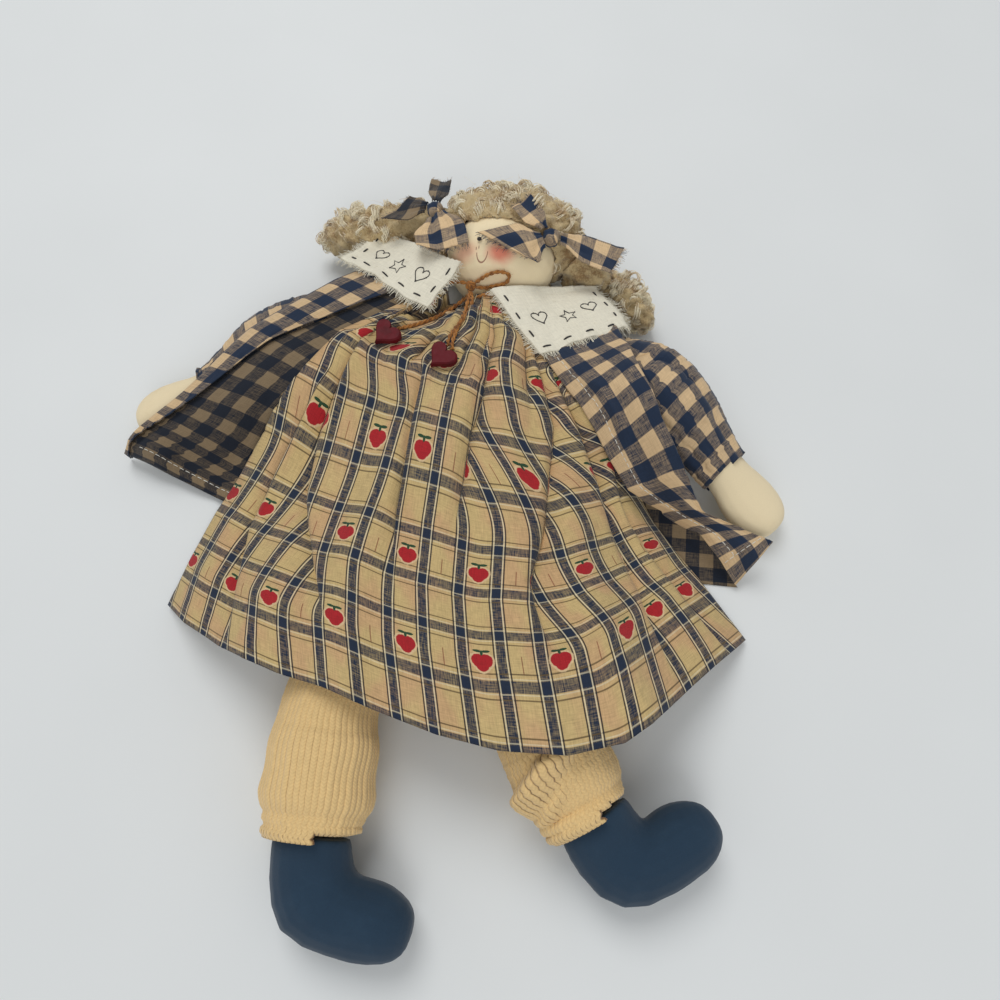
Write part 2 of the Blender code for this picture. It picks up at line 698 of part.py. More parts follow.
# The hair: lumpy masses that the curls fill.
def curl_mass(name, centre, radii, heading, joint, collection=DOLL):
    bm = bmesh.new()
    bmesh.ops.create_uvsphere(bm, u_segments=18, v_segments=12, radius=1)
    along_x, along_y = direction(heading), direction(heading + 90)
    for corner in bm.verts:
        unit = corner.co.copy()
        lump = math.sin(CURL_COUNT * unit.x + 1) * math.sin(CURL_COUNT * unit.y) * math.cos(CURL_COUNT * unit.z)
        unit *= 1 + CURL_DEPTH_SHARE * lump
        corner.co = Vector(centre) + along_x * unit.x * radii[0] + along_y * unit.y * radii[1] + UP * unit.z * radii[2]
        corner.co.z = max(corner.co.z, 0)
    bmesh.ops.triangulate(bm, faces=bm.faces)
    return piece(name, mesh_of(name, bm), CURL, joint, collection)


def make_hair(joint, head_cutter):
    masses = (
        ("hair_crown", CROWN_CENTRE, CROWN_RADII, 0),
        ("hair_nape", NAPE_CENTRE, NAPE_RADII, 0),
        ("hair_right", RIGHT_BUNCH_CENTRE, RIGHT_BUNCH_RADII, RIGHT_BUNCH_HEADING),
        ("hair_left", LEFT_BUNCH_CENTRE, LEFT_BUNCH_RADII, LEFT_BUNCH_HEADING),
        ("hair_left_curls", LEFT_CURLS_CENTRE, LEFT_CURLS_RADII, LEFT_CURLS_HEADING),
    )
    made = []
    for k, (name, centre, radii, heading) in enumerate(masses):
        mass = curl_mass(name, centre, radii, heading, joint)
        cut(mass, head_cutter)
        for before in masses[:k]:
            grown = tuple(radius + 2 * GAP for radius in before[2])
            cut(mass, curl_mass(name + "_clear_of_" + before[0], before[1], grown, before[3], None, CUTTERS))
        made.append(mass)
    return made


# The torn-strip bows.
def bow_leaf(name, knot, heading, length, width, covers, joint):
    """A strip from the knot outwards, arched over what it lies on."""
    start = Vector((knot.x, knot.y, 0)) + direction(heading) * (BOW_KNOT_RADIUS + GAP)
    side = direction(heading + 90)
    rows, columns = 6, 4
    plan = []
    for i in range(rows):
        share = i / (rows - 1)
        spread = 0.42 + 0.58 * smooth_step(2.2 * share)
        row = []
        for j in range(columns):
            across = (j / (columns - 1) - 0.5) * width * spread
            row.append(start + direction(heading) * length * share + side * across)
        plan.append(row)
    lowest = rest_heights(plan, covers, width / columns / 2)
    lowest[0] = [max(z, knot.z - RIBBON_CLOTH / 2) for z in lowest[0]]
    heights = settle(plan, lowest, 8, RIBBON_DROP)
    for i in range(rows):
        for j in range(columns):
            arch = math.sin(math.pi * j / (columns - 1)) * (1 - i / rows)
            heights[i][j] += width * LEAF_BOW_SHARE * arch
    return cloth(name, plan, heights, RIBBON_CLOTH, CHECK, joint, covers)


def ball(name, centre, radius, finish, joint=None):
    bm = bmesh.new()
    bmesh.ops.create_uvsphere(bm, u_segments=12, v_segments=8, radius=radius)
    for corner in bm.verts:
        corner.co += Vector(centre)
    return piece(name, mesh_of(name, bm), finish, joint)


def make_bow(word, place, leaves, hair_covers, joint):
    covers = list(hair_covers)
    knot = Vector((*place, ball_seat(covers, place, BOW_KNOT_RADIUS)))
    ball("bow_" + word + "_knot", knot, BOW_KNOT_RADIUS, CHECK, joint)
    for name, heading, length, width in leaves:
        covers.append(Cover(bow_leaf(name, knot, heading, length, width, covers, joint)))


def make_eyes(head_cover, joint):
    for side, word in ((-1, "right"), (1, "left")):
        x = FACE_MIDDLE_X + side * EYE_SPACING / 2
        bm = bmesh.new()
        bmesh.ops.create_uvsphere(bm, u_segments=8, v_segments=6, radius=EYE_RADIUS)
        lift = head_cover.top(x, EYE_HEIGHT_Y) + EYE_RADIUS + 2 * GAP
        for corner in bm.verts:
            corner.co += Vector((x, EYE_HEIGHT_Y, lift))
        piece("eye_" + word, mesh_of("eye_" + word, bm), BLACK_THREAD, joint)


# The clothes.
def dress_plan(rows, columns, inset=0):
    """The skirt in plan: gathered at the neck, between its side edges, out to its curved hem."""
    neck = (0, DRESS_TOP_Y)
    plan = []
    for i in range(rows):
        share = i / (rows - 1)
        right = line_point(RIGHT_SIDE_SHARES, share, neck, SKIRT_LENGTH)
        left = line_point(LEFT_SIDE_SHARES, share, neck, SKIRT_LENGTH)
        row = []
        for j in range(columns):
            across = j / (columns - 1)
            level = right.lerp(left, across)
            hem = line_point(HEM_SHARES, across, neck, SKIRT_LENGTH)
            hem_level = line_point(HEM_SHARES, 0, neck, SKIRT_LENGTH).lerp(
                line_point(HEM_SHARES, 1, neck, SKIRT_LENGTH), across
            )
            at = level + (hem - hem_level) * share
            inwards = Vector((inset * (1 - 2 * across), inset * 4 * across * (1 - across), 0))
            row.append(at + inwards * share)
        plan.append(row)
    return plan


def make_dress_front(covers):
    rows, columns = 22, 25
    plan = dress_plan(rows, columns)
    reach = SKIRT_LENGTH / rows / 2
    heights = settle(plan, rest_heights(plan, covers, reach), 26, DRESS_DROP)
    for i in range(rows):
        for j in range(columns):
            across = 2 * j / (columns - 1) - 1
            fold = 0.5 - 0.5 * math.cos(math.pi * FOLD_COUNT * (across + 1))
            edge = 1 - across ** 4
            heights[i][j] += FOLD_DEPTH * fold * edge * (0.35 + 0.65 * i / (rows - 1))
    return cloth("dress_front", plan, heights, DRESS_CLOTH, PLAID, None, covers)


def make_dress_back(jacket):
    """The back of the dress: on the jacket at the top, and down on the table past the jacket's hem."""
    rows, columns = 11, 15
    plan = dress_plan(rows, columns, DRESS_BACK_INSET)
    heights = rest_heights(plan, [jacket], 1.1 * SKIRT_LENGTH / rows, GAP)
    return cloth("dress_back", plan, heights, DRESS_CLOTH, PLAID, None, [jacket])


def make_jacket_back():
    rows, columns = 6, 7
    plan = []
    for i in range(rows):
        share = i / (rows - 1)
        right = JACKET_TOP_HALF_WIDTH + (JACKET_HEM_RIGHT - JACKET_TOP_HALF_WIDTH) * share
        left = JACKET_TOP_HALF_WIDTH + (JACKET_HEM_LEFT - JACKET_TOP_HALF_WIDTH) * share
        y = JACKET_TOP_Y - JACKET_LENGTH * share
        plan.append([Vector((-right + (right + left) * j / (columns - 1), y, 0)) for j in range(columns)])
    heights = [[0] * columns for _ in range(rows)]
    return cloth("jacket_back", plan, heights, JACKET_CLOTH, CHECK)


def panel_plan(inner_shares, outer_shares, rows, columns):
    neck = (0, DRESS_TOP_Y)
    plan = []
    for i in range(rows):
        share = i / (rows - 1)
        inner = line_point(inner_shares, share, neck, JACKET_LENGTH)
        outer = line_point(outer_shares, share, neck, JACKET_LENGTH)
        plan.append([inner.lerp(outer, j / (columns - 1)) for j in range(columns)])
    return plan


def make_left_front(covers):
    rows, columns = 15, 7
    plan = panel_plan(LEFT_FRONT_INNER_SHARES, LEFT_FRONT_OUTER_SHARES, rows, columns)
    heights = rest_heights(plan, covers, JACKET_LENGTH / rows / 1.25)
    return cloth(
        "jacket_front_left", plan, settle(plan, heights, 10, JACKET_DROP), JACKET_CLOTH, CHECK, None, covers
    )


def make_right_front(covers):
    """The open front: inside up over the arm, its front edge folded back over itself as a facing."""
    rows, columns, folded = 14, 12, 3
    plan = panel_plan(RIGHT_FRONT_INNER_SHARES, RIGHT_FRONT_FOLD_SHARES, rows, columns)
    heights = settle(plan, rest_heights(plan, covers, JACKET_LENGTH / rows / 2), 12, JACKET_DROP)
    for i, (row, tops) in enumerate(zip(plan, heights)):
        share = i / (rows - 1)
        tops[-1] += FACING_RISE / 2
        inward = (row[0] - row[-1]).normalized()
        facing = FACING_WIDTH * (1 - share) + FACING_WIDTH * share / 6
        span = (row[0] - row[-1]).length
        for k in range(1, folded + 1):
            back = facing * k / folded
            at = (columns - 1) * (1 - back / span)
            low = int(at)
            height = tops[low] + (tops[low + 1] - tops[low]) * (at - low)
            row.append(row[columns - 1] + inward * back)
            tops.append(max(height, tops[min(low + 1, columns - 2)]) + FACING_RISE)
    return cloth("jacket_front_right", plan, heights, JACKET_CLOTH, CHECK, None, covers)


def make_collar(word, shares, covers):
    """An oblong flap between its four corners, hung over everything at the neck."""
    rows, columns = 7, 10
    corners = [Vector((x * COLLAR_LENGTH, NECK_Y + y * COLLAR_LENGTH, 0)) for x, y in shares]
    plan = []
    for i in range(rows):
        down = i / (rows - 1)
        inner, outer = corners[0].lerp(corners[2], down), corners[1].lerp(corners[3], down)
        plan.append([inner.lerp(outer, j / (columns - 1)) for j in range(columns)])
    heights = settle(plan, rest_heights(plan, covers, COLLAR_LENGTH / rows / 3), 14, COLLAR_DROP)
    return cloth("collar_" + word, plan, heights, COLLAR_CLOTH, OSNABURG, None, covers)


# The twine and the hearts.
def tube(name, points, radius, finish, closed=False, joint=None):
    data = bpy.data.curves.new(name, "CURVE")
    data.dimensions = "3D"
    data.bevel_depth = radius
    data.bevel_resolution = 2
    data.use_fill_caps = True
    spline = data.splines.new("POLY")
    spline.points.add(len(points) - 1)
    for place, point in zip(points, spline.points):
        point.co = (*place, 1)
    spline.use_cyclic_u = closed
    return piece(name, data, finish, joint)


def make_neck_twine():
    ring = NECK_RADIUS + GAP + TWINE_RADIUS
    y = NECK_Y - NECK_TWINE_BEHIND_JOINT
    points = []
    for k in range(24):
        turn = 2 * math.pi * k / 24
        points.append(Vector((ring * math.cos(turn), y, NECK_Z + ring * math.sin(turn))))
    return tube("neck_twine", points, TWINE_RADIUS, JUTE, closed=True)


def make_knot(covers):
    knot = Vector((*KNOT_PLACE, ball_seat(covers, KNOT_PLACE, KNOT_RADIUS)))
    ball("twine_knot", knot, KNOT_RADIUS, JUTE)
    return knot.z


def make_loop(knot_z, covers):
    """The bow's one open loop: out from the knot, round its end and back beside itself."""
    out, across = direction(LOOP_HEADING), direction(LOOP_HEADING + 90)
    centre = Vector((*KNOT_PLACE, 0))
    close = TWINE_RADIUS + GAP / 2
    points = []
    for k in range(17):
        turn = math.pi * (k / 16 - 0.5)
        open_share = math.cos(turn) ** 0.7
        reach = KNOT_RADIUS + GAP + (LOOP_LENGTH - KNOT_RADIUS - GAP) * open_share
        aside = (close + (LOOP_HALF_WIDTH - close) * open_share) * math.sin(turn)
        points.append(centre + out * reach + across * aside)
    for point in points:
        seat = ball_seat(covers, point, TWINE_RADIUS)
        away = ((point - centre).length - KNOT_RADIUS) / LOOP_LENGTH
        point.z = max(seat, knot_z + (seat - knot_z) * min(max(away, 0), 1))
    return tube("twine_loop", points, TWINE_RADIUS, JUTE)


def route_curve(route, count):
    """Points read from a smooth curve through a route's own points."""
    ends = [route[0]] + list(route) + [route[-1]]
    points = []
    for k in range(count):
        place = k / (count - 1) * (len(route) - 1)
        i = min(int(place), len(route) - 2)
        t = place - i
        a, b, c, d = (Vector(p) for p in ends[i:i + 4])
        bend = (c - a) * t + (2 * a - 5 * b + 4 * c - d) * t ** 2 + (3 * b - a - 3 * c + d) * t ** 3
        at = b + bend / 2
        points.append(Vector((at.x, at.y, 0)))
    return points


def make_tail(word, route, covers, start_z=None):
    if start_z:
        knot = Vector(KNOT_PLACE)
        route = [knot + (Vector(route[0]) - knot).normalized() * (KNOT_RADIUS + GAP)] + list(route)
    points = route_curve(route, TAIL_POINTS)
    for point in points:
        point.z = ball_seat(covers, point, TWINE_RADIUS)
    if start_z:
        points[0].z = max(points[0].z, start_z)
    heights = [p.z for p in points]
    for _ in range(TAIL_POINTS):
        for k in range(TAIL_POINTS):
            for beside in (k - 1, k + 1):
                if 0 <= beside < TAIL_POINTS:
                    step = (points[beside] - points[k]) * Vector((1, 1, 0))
                    heights[k] = max(heights[k], heights[beside] - step.length * TAIL_DROP)
    for point, z in zip(points, heights):
        point.z = z
    return tube("twine_tail_" + word, points, TWINE_RADIUS, JUTE), points[-1]


def heart_outline():
    """The heart's outline in plan, below its hinge, with its cleft towards the hinge."""
    points = []
    for k in range(28):
        turn = 2 * math.pi * k / 28
        x = 16 * math.sin(turn) ** 3
        y = 13 * math.cos(turn) - 5 * math.cos(2 * turn) - 2 * math.cos(3 * turn) - math.cos(4 * turn)
        points.append(Vector((x, y - 12, 0)) * HEART_WIDTH / 32 - Vector((0, CLEFT_CLEARANCE, 0)))
    return points


def heart_sweep(pivot):
    """Where the heart's outline and its middle come as it swings, in plan."""
    places = []
    for k in range(6):
        swing = HEART_SWING[0] + (HEART_SWING[1] - HEART_SWING[0]) * k / 5
        turned = math.radians(HEART_HEADING - 90 + swing)
        for share in (0.5, 1):
            for p in heart_outline():
                x, y = p.x * share, p.y * share
                places.append(pivot + Vector((
                    x * math.cos(turned) - y * math.sin(turned), x * math.sin(turned) + y * math.cos(turned), 0
                )))
    return places


def heart_mesh(name):
    """Both faces drawn in by the softened edge, round the middle of the heart."""
    outline = heart_outline()
    middle = sum(outline, Vector()) / len(outline)
    levels = (
        (0, 1 - 2 * HEART_EDGE / HEART_WIDTH),
        (HEART_EDGE, 1),
        (HEART_THICKNESS - HEART_EDGE, 1),
        (HEART_THICKNESS, 1 - 2 * HEART_EDGE / HEART_WIDTH),
    )
    bm = bmesh.new()
    loops = []
    for z, share in levels:
        loops.append([bm.verts.new(middle + (p - middle) * share + UP * z) for p in outline])
    for near, far in zip(loops, loops[1:]):
        for k, corner in enumerate(near):
            bm.faces.new((corner, near[(k + 1) % len(near)], far[(k + 1) % len(far)], far[k]))
    bm.faces.new(loops[0])
    bm.faces.new(loops[-1])
    return mesh_of(name, bm, smooth=False)


def make_heart(word, hang, covers):
    """A flat wooden heart with softened edges, its cleft at the twine's end."""
    pivot = Vector((hang.x, hang.y, 0))
    turn = math.radians(HEART_HEADING - 90)
    seat = max(cover.top(p.x, p.y) for cover in covers for p in heart_sweep(pivot)) + GAP
    joint = joint_empty("heart_" + word + "_hinge", (pivot.x, pivot.y, seat))
    made = piece("heart_" + word, heart_mesh("heart_" + word), RED_WOOD)
    made.parent = joint
    made.rotation_euler = (0, 0, turn)
    return made


# Sizes that follow from the ones above.
BACK_REST = JACKET_CLOTH + GAP + DRESS_CLOTH + GAP
NECK_Y = TORSO_BOTTOM_Y + TORSO_LENGTH + NECK_LENGTH


def make_doll():
    neck = joint_empty("neck_joint", (0, NECK_Y, NECK_Z))
    jacket_back = make_jacket_back()
    dress_back = make_dress_back(Cover(jacket_back))
    torso = make_torso()
    head = stuffed("head", head_rings(), 12, MUSLIN, neck)
    head_cutter = stuffed("head_clear", head_rings(2 * GAP), 12, MUSLIN, None, CUTTERS)
    hair = make_hair(neck, head_cutter)

    limbs = {}
    for word, side, arm_headings, elbow_z, puff, arm_swing, leg_headings, shin, knee_z, toe_drop, leg_swing in (
        ("right", -1, RIGHT_ARM_HEADINGS, RIGHT_ELBOW_Z, RIGHT_SLEEVE_PUFF, RIGHT_ARM_SWING,
         RIGHT_LEG_HEADINGS, RIGHT_SHIN, RIGHT_KNEE_Z, RIGHT_TOE_DROP, RIGHT_LEG_SWING),
        ("left", 1, LEFT_ARM_HEADINGS, LEFT_ELBOW_Z, LEFT_SLEEVE_PUFF, LEFT_ARM_SWING,
         LEFT_LEG_HEADINGS, LEFT_SHIN, LEFT_KNEE_Z, LEFT_TOE_DROP, LEFT_LEG_SWING),
    ):
        shoulder = joint_empty("shoulder_joint_" + word, (side * SHOULDER_X, SHOULDER_Y, SHOULDER_Z))
        points = arm_points(side, arm_headings, elbow_z)
        arm = stuffed("arm_" + word, rings_along(points, arm_profile()), 8, MUSLIN, shoulder)
        seat_limb(torso, arm, shoulder.location, arm_swing)
        limbs["sleeve_" + word] = tube_shell(
            "sleeve_" + word, sleeve_rings(points, puff), 8, SLEEVE_CLOTH, CHECK, shoulder
        )
        limbs["arm_" + word] = arm
        hip = joint_empty("hip_joint_" + word, (side * HIP_X, HIP_Y, HIP_Z))
        points = leg_points(side, leg_headings, shin, knee_z)
        limbs["leg_" + word] = stuffed("leg_" + word, rings_along(points, leg_profile(shin)), 8, MUSLIN, hip)
        seat_limb(torso, limbs["leg_" + word], hip.location, leg_swing)
        limbs["stocking_" + word] = tube_shell(
            "stocking_" + word, stocking_rings(points, shin), 8, KNIT, RIB_KNIT, hip
        )
        stuffed("shoe_" + word, shoe_rings(points[-1], leg_headings[1], toe_drop), 10, NAVY_COTTON, hip)

    head_cover = Cover(head)
    make_eyes(head_cover, neck)
    hair_covers = [head_cover] + [Cover(mass) for mass in hair]
    make_bow("right", RIGHT_BOW_KNOT, RIGHT_BOW_LEAVES, hair_covers, neck)
    make_bow("left", LEFT_BOW_KNOT, LEFT_BOW_LEAVES, hair_covers, neck)

    def swung(word, part, pivot, swing, steps):
        return Cover(limbs[part + "_" + word], pivot, swing, steps)

    right_shoulder, left_shoulder = (-SHOULDER_X, SHOULDER_Y), (SHOULDER_X, SHOULDER_Y)
    right_hip, left_hip = (-HIP_X, HIP_Y), (HIP_X, HIP_Y)
    flat = [Cover(jacket_back), Cover(dress_back)]
    body = flat + [Cover(torso)]
    right_arm = [swung("right", part, right_shoulder, RIGHT_ARM_SWING, 10) for part in ("sleeve", "arm")]
    left_arm = [swung("left", part, left_shoulder, LEFT_ARM_SWING, 6) for part in ("sleeve", "arm")]
    legs = [swung("right", part, right_hip, RIGHT_LEG_SWING, 6) for part in ("leg", "stocking")]
    legs += [swung("left", part, left_hip, LEFT_LEG_SWING, 6) for part in ("leg", "stocking")]

    right_front = Cover(make_right_front(body + right_arm))
    dress_front = Cover(make_dress_front(body + legs + right_arm + left_arm + [right_front]))
    left_front = Cover(make_left_front(body + left_arm + [dress_front]))

    ring = Cover(make_neck_twine())
    jaw = Cover(head, extra=TURN_CLEARANCE)
    dressed = body + right_arm + left_arm + [right_front, dress_front, left_front, ring, jaw]
    right_tail, right_hang = make_tail("right", RIGHT_TAIL_ROUTE, dressed)
    collar_covers = dressed + [Cover(right_tail)]
    right_collar = Cover(make_collar("right", RIGHT_COLLAR_SHARES, collar_covers))
    left_collar = Cover(make_collar("left", LEFT_COLLAR_SHARES, collar_covers))
    over = dressed + [right_collar, left_collar]
    knot_z = make_knot(over)
    make_loop(knot_z, over)
    _, left_hang = make_tail("left", LEFT_TAIL_ROUTE, over, knot_z)
    make_heart("right", right_hang, over)
    make_heart("left", left_hang, over)


make_doll()
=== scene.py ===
import json
import math
import random

import bpy
import numpy as np
from mathutils import Matrix, Vector
from mathutils.bvhtree import BVHTree


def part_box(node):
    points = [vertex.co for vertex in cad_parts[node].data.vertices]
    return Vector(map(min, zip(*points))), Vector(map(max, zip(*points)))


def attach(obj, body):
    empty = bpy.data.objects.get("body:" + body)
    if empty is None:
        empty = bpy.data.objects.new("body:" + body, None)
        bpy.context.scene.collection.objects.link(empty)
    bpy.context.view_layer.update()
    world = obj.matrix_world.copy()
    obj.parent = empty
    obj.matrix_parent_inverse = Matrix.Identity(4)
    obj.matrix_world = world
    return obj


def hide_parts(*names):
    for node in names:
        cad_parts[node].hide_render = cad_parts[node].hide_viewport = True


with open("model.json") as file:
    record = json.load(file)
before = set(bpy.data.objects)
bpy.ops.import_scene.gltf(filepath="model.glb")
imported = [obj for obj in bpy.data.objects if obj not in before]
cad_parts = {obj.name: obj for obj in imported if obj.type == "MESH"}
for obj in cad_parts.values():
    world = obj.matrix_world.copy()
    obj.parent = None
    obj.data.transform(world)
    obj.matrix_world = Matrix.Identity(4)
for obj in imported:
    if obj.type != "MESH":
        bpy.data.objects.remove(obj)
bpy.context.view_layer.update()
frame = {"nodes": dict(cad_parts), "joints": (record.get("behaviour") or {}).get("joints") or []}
nodes = frame["nodes"]

MM = 0.001


# The table and the light: a pale table seen from above and a little from the feet, under one
# wide soft lamp beyond the head, a weaker one beyond the feet, and a pale sky all round.
def colour(red, green, blue):
    """A colour as the eye reads it, from 0 to 255, turned into light."""
    light = []
    for level in (red, green, blue):
        level /= 255
        light.append(level / 12.92 if level <= 0.04045 else ((level + 0.055) / 1.055) ** 2.4)
    return (*light, 1)


class Socket:
    """A node's output that Python's arithmetic works on."""

    def __init__(self, finish, output):
        self.finish = finish
        self.output = output

    def maths(self, operation, *others):
        return self.finish.node("ShaderNodeMath", {"operation": operation}, enumerate((self, *others)))

    def __add__(self, other):
        return self.maths("ADD", other)

    __radd__ = __add__

    def __mul__(self, other):
        return self.maths("MULTIPLY", other)

    __rmul__ = __mul__

    def __sub__(self, other):
        return self.maths("SUBTRACT", other)

    def __rsub__(self, other):
        return self.finish.node("ShaderNodeMath", {"operation": "SUBTRACT"}, {0: other, 1: self})

    def __truediv__(self, other):
        return self.maths("DIVIDE", other)

    def either(self, other):
        return self.maths("MAXIMUM", other)

    def stretched(self, by):
        return self.finish.node("ShaderNodeVectorMath", {"operation": "MULTIPLY"}, {0: self, 1: by})

    def shifted(self, by):
        return self.finish.node("ShaderNodeVectorMath", {"operation": "ADD"}, {0: self, 1: by})

    def parts(self):
        """The three numbers of a place."""
        split = self.finish.node("ShaderNodeSeparateXYZ", {}, {0: self})
        return [Socket(self.finish, output) for output in split.output.node.outputs]

    def fade(self, start, end):
        """0 at start, 1 at end, and smooth between."""
        sockets = {"Value": self, "From Min": start, "From Max": end}
        return self.finish.node("ShaderNodeMapRange", {"interpolation_type": "SMOOTHSTEP"}, sockets)

    def about(self, centre, period):
        """How far from the nearest of a row of centres a period apart."""
        return (self - centre).maths("WRAP", period / 2, -period / 2)

    def stripe(self, period, centre, width, soft):
        """1 within a row of stripes a period apart, 0 between them, with soft edges."""
        away = self.about(centre, period).maths("ABSOLUTE")
        return away.fade(width / 2 + soft, width / 2 - soft)

    def speck(self, detail=2, roughness=0.5):
        """Smooth noise at the scale of the place it is given."""
        sockets = {"Vector": self, "Scale": 1, "Detail": detail, "Roughness": roughness}
        return self.finish.node("ShaderNodeTexNoise", {}, sockets)

    def specks(self, per_metre, detail=2, roughness=0.5):
        """The same noise with so many specks to a metre, each way alike."""
        return self.stretched((per_metre,) * 3).speck(detail, roughness)


class Finish:
    """A material being made. node() adds any node; numbers that vary go in through feed()."""

    def __init__(self, name, **levels):
        self.material = bpy.data.materials.new(name)
        self.material.use_nodes = True
        self.tree = self.material.node_tree
        self.shader = self.tree.nodes["Principled BSDF"]
        for socket, level in levels.items():
            self.shader.inputs[socket.replace("_", " ")].default_value = level

    def node(self, kind, settings, sockets, output=0):
        made = self.tree.nodes.new(kind)
        for setting, value in settings.items():
            setattr(made, setting, value)
        for socket, value in dict(sockets).items():
            if isinstance(value, Socket):
                self.tree.links.new(value.output, made.inputs[socket])
            else:
                made.inputs[socket].default_value = value
        return Socket(self, made.outputs[output])

    def place(self):
        """Where a point is on its own piece, which turns with the piece."""
        return self.node("ShaderNodeTexCoord", {}, {}, "Object")

    def cut(self):
        """Where a point of cloth was on the flat cut, in metres: across the warp and along it."""
        return self.node("ShaderNodeAttribute", {"attribute_name": "cut"}, {}, "Vector")

    def mix(self, share, under, over):
        """One colour laid over another by a share."""
        sockets = {0: share, 6: under, 7: over}
        return self.node("ShaderNodeMix", {"data_type": "RGBA"}, sockets, 2)

    def darken(self, tint, level):
        """A colour times a level that may vary over the surface."""
        if isinstance(tint, tuple):
            tint = tint[:3]
        return self.node("ShaderNodeVectorMath", {"operation": "SCALE"}, {0: tint, "Scale": level})

    def feed(self, socket, value):
        self.tree.links.new(value.output, self.shader.inputs[socket])

    def bump(self, height, depth, strength=1):
        sockets = {"Height": height, "Distance": depth, "Strength": strength}
        self.feed("Normal", self.node("ShaderNodeBump", {}, sockets))


def give(made, finish):
    """A piece's one finish, in place of any that it came with."""
    made.data.materials.clear()
    made.data.materials.append(finish.material)


CAMERA_PLACE = Vector((28.4, -171.4, 410)) * MM
CAMERA_RIGHT = Vector((0.9945, 0.1045, 0))
CAMERA_VIEW = Vector((-0.0341, 0.3248, -0.9452))
CAMERA_LENS = 27
CAMERA_SENSOR = 36
TABLE_SIZE = 4
TABLE_DROP = 0.05 * MM
TABLE_GREY = colour(231, 234, 234)
TABLE_MOTTLE = 9
LAMPS = (((-0.8, 1.9, 3.1), 2.1, 52), ((0.4, -2.4, 2.2), 2.4, 24))
SKY_BLUE = (0.97, 0.985, 1, 1)
SKY_LEVEL = 0.415

camera = bpy.data.objects.new("camera", bpy.data.cameras.new("camera"))
back = -CAMERA_VIEW.normalized()
right = (CAMERA_RIGHT - back * CAMERA_RIGHT.dot(back)).normalized()
turn = Matrix((right, back.cross(right), back)).transposed().to_4x4()
camera.matrix_world = Matrix.Translation(CAMERA_PLACE) @ turn
camera.data.lens = CAMERA_LENS
camera.data.sensor_width = CAMERA_SENSOR
bpy.context.scene.collection.objects.link(camera)
bpy.context.scene.camera = camera

for place, size, power in LAMPS:
    lamp = bpy.data.objects.new("lamp", bpy.data.lights.new("lamp", "AREA"))
    lamp.data.shape = "DISK"
    lamp.data.size = size
    lamp.data.energy = power
    lamp.location = place
    lamp.rotation_euler = (-Vector(place)).to_track_quat("-Z", "Y").to_euler()
    bpy.context.scene.collection.objects.link(lamp)

sky = bpy.data.worlds.new("sky")
sky.use_nodes = True
sky.node_tree.nodes["Background"].inputs["Color"].default_value = SKY_BLUE
sky.node_tree.nodes["Background"].inputs["Strength"].default_value = SKY_LEVEL
bpy.context.scene.world = sky
bpy.context.scene.view_settings.view_transform = "Standard"

bpy.ops.mesh.primitive_plane_add(size=TABLE_SIZE, location=(0, 0, -TABLE_DROP))
table = bpy.context.object
table.name = "table"
laminate = Finish("table_laminate", Roughness=0.55)
mottle = laminate.place().specks(TABLE_MOTTLE)
laminate.feed("Base Color", laminate.darken(TABLE_GREY, 0.97 + 0.06 * mottle))
give(table, laminate)


# The muslin body: a stuffed torso, two arms with mitten hands and two legs. Cream cotton with
# a fine even weave, sewn flat, turned out and packed hard, with a seam round its edge.
SKY_HEIGHT = 0.2
UP = Vector((0, 0, 1))


class Surface:
    """The outside of one or more solids, read from above, from below or along a ray."""

    def __init__(self, *names):
        corners, faces = [], []
        for name in names:
            data = nodes[name].data
            start = len(corners)
            corners += [corner.co.copy() for corner in data.vertices]
            faces += [tuple(start + k for k in face.vertices) for face in data.polygons]
        self.tree = BVHTree.FromPolygons(corners, faces)

    def hit(self, origin, way):
        return self.tree.ray_cast(Vector(origin), Vector(way))[0]

    def tops(self, plan, fill=True):
        """The height over each place of a grid; places past the edge take their neighbours'."""
        heights = np.full(plan.shape[:2], np.nan)
        for spot in np.ndindex(heights.shape):
            found = self.hit((plan[spot][0], plan[spot][1], SKY_HEIGHT), -UP)
            if found:
                heights[spot] = found.z
        return filled(heights) if fill else heights

    def undersides(self, plan):
        """The height of what lies over each place of a grid, or infinity where nothing does."""
        heights = np.full(plan.shape[:2], np.inf)
        for spot in np.ndindex(heights.shape):
            found = self.hit((plan[spot][0], plan[spot][1], -SKY_HEIGHT), UP)
            if found:
                heights[spot] = found.z
        return heights


def lifted(plan, heights, gap, *names):
    """Heights raised to lie over the named solids, where those are under them."""
    return np.fmax(heights, Surface(*names).tops(plan, False) + gap)


def beside(grid, fill):
    """The four neighbours of each place of a grid, with a filler past its edges."""
    padded = np.pad(grid, 1, constant_values=fill)
    return np.stack((padded[:-2, 1:-1], padded[2:, 1:-1], padded[1:-1, :-2], padded[1:-1, 2:]))


def filled(heights):
    """Heights with each gap filled from the known ones beside it, from its edge inwards."""
    while np.isnan(heights).any():
        near = beside(heights, np.nan)
        known = ~np.isnan(near)
        total = np.where(known, near, 0).sum(0)
        count = known.sum(0)
        gaps = np.isnan(heights) & (count > 0)
        heights[gaps] = total[gaps] / count[gaps]
    return heights


def smoothed(grid, passes):
    """A grid of heights or places, each averaged with its neighbours; the edges stay."""
    for _ in range(passes):
        inner = (grid[:-2, 1:-1] + grid[2:, 1:-1] + grid[1:-1, :-2] + grid[1:-1, 2:]) / 4
        grid = grid.copy()
        grid[1:-1, 1:-1] = (grid[1:-1, 1:-1] + inner) / 2
    return grid


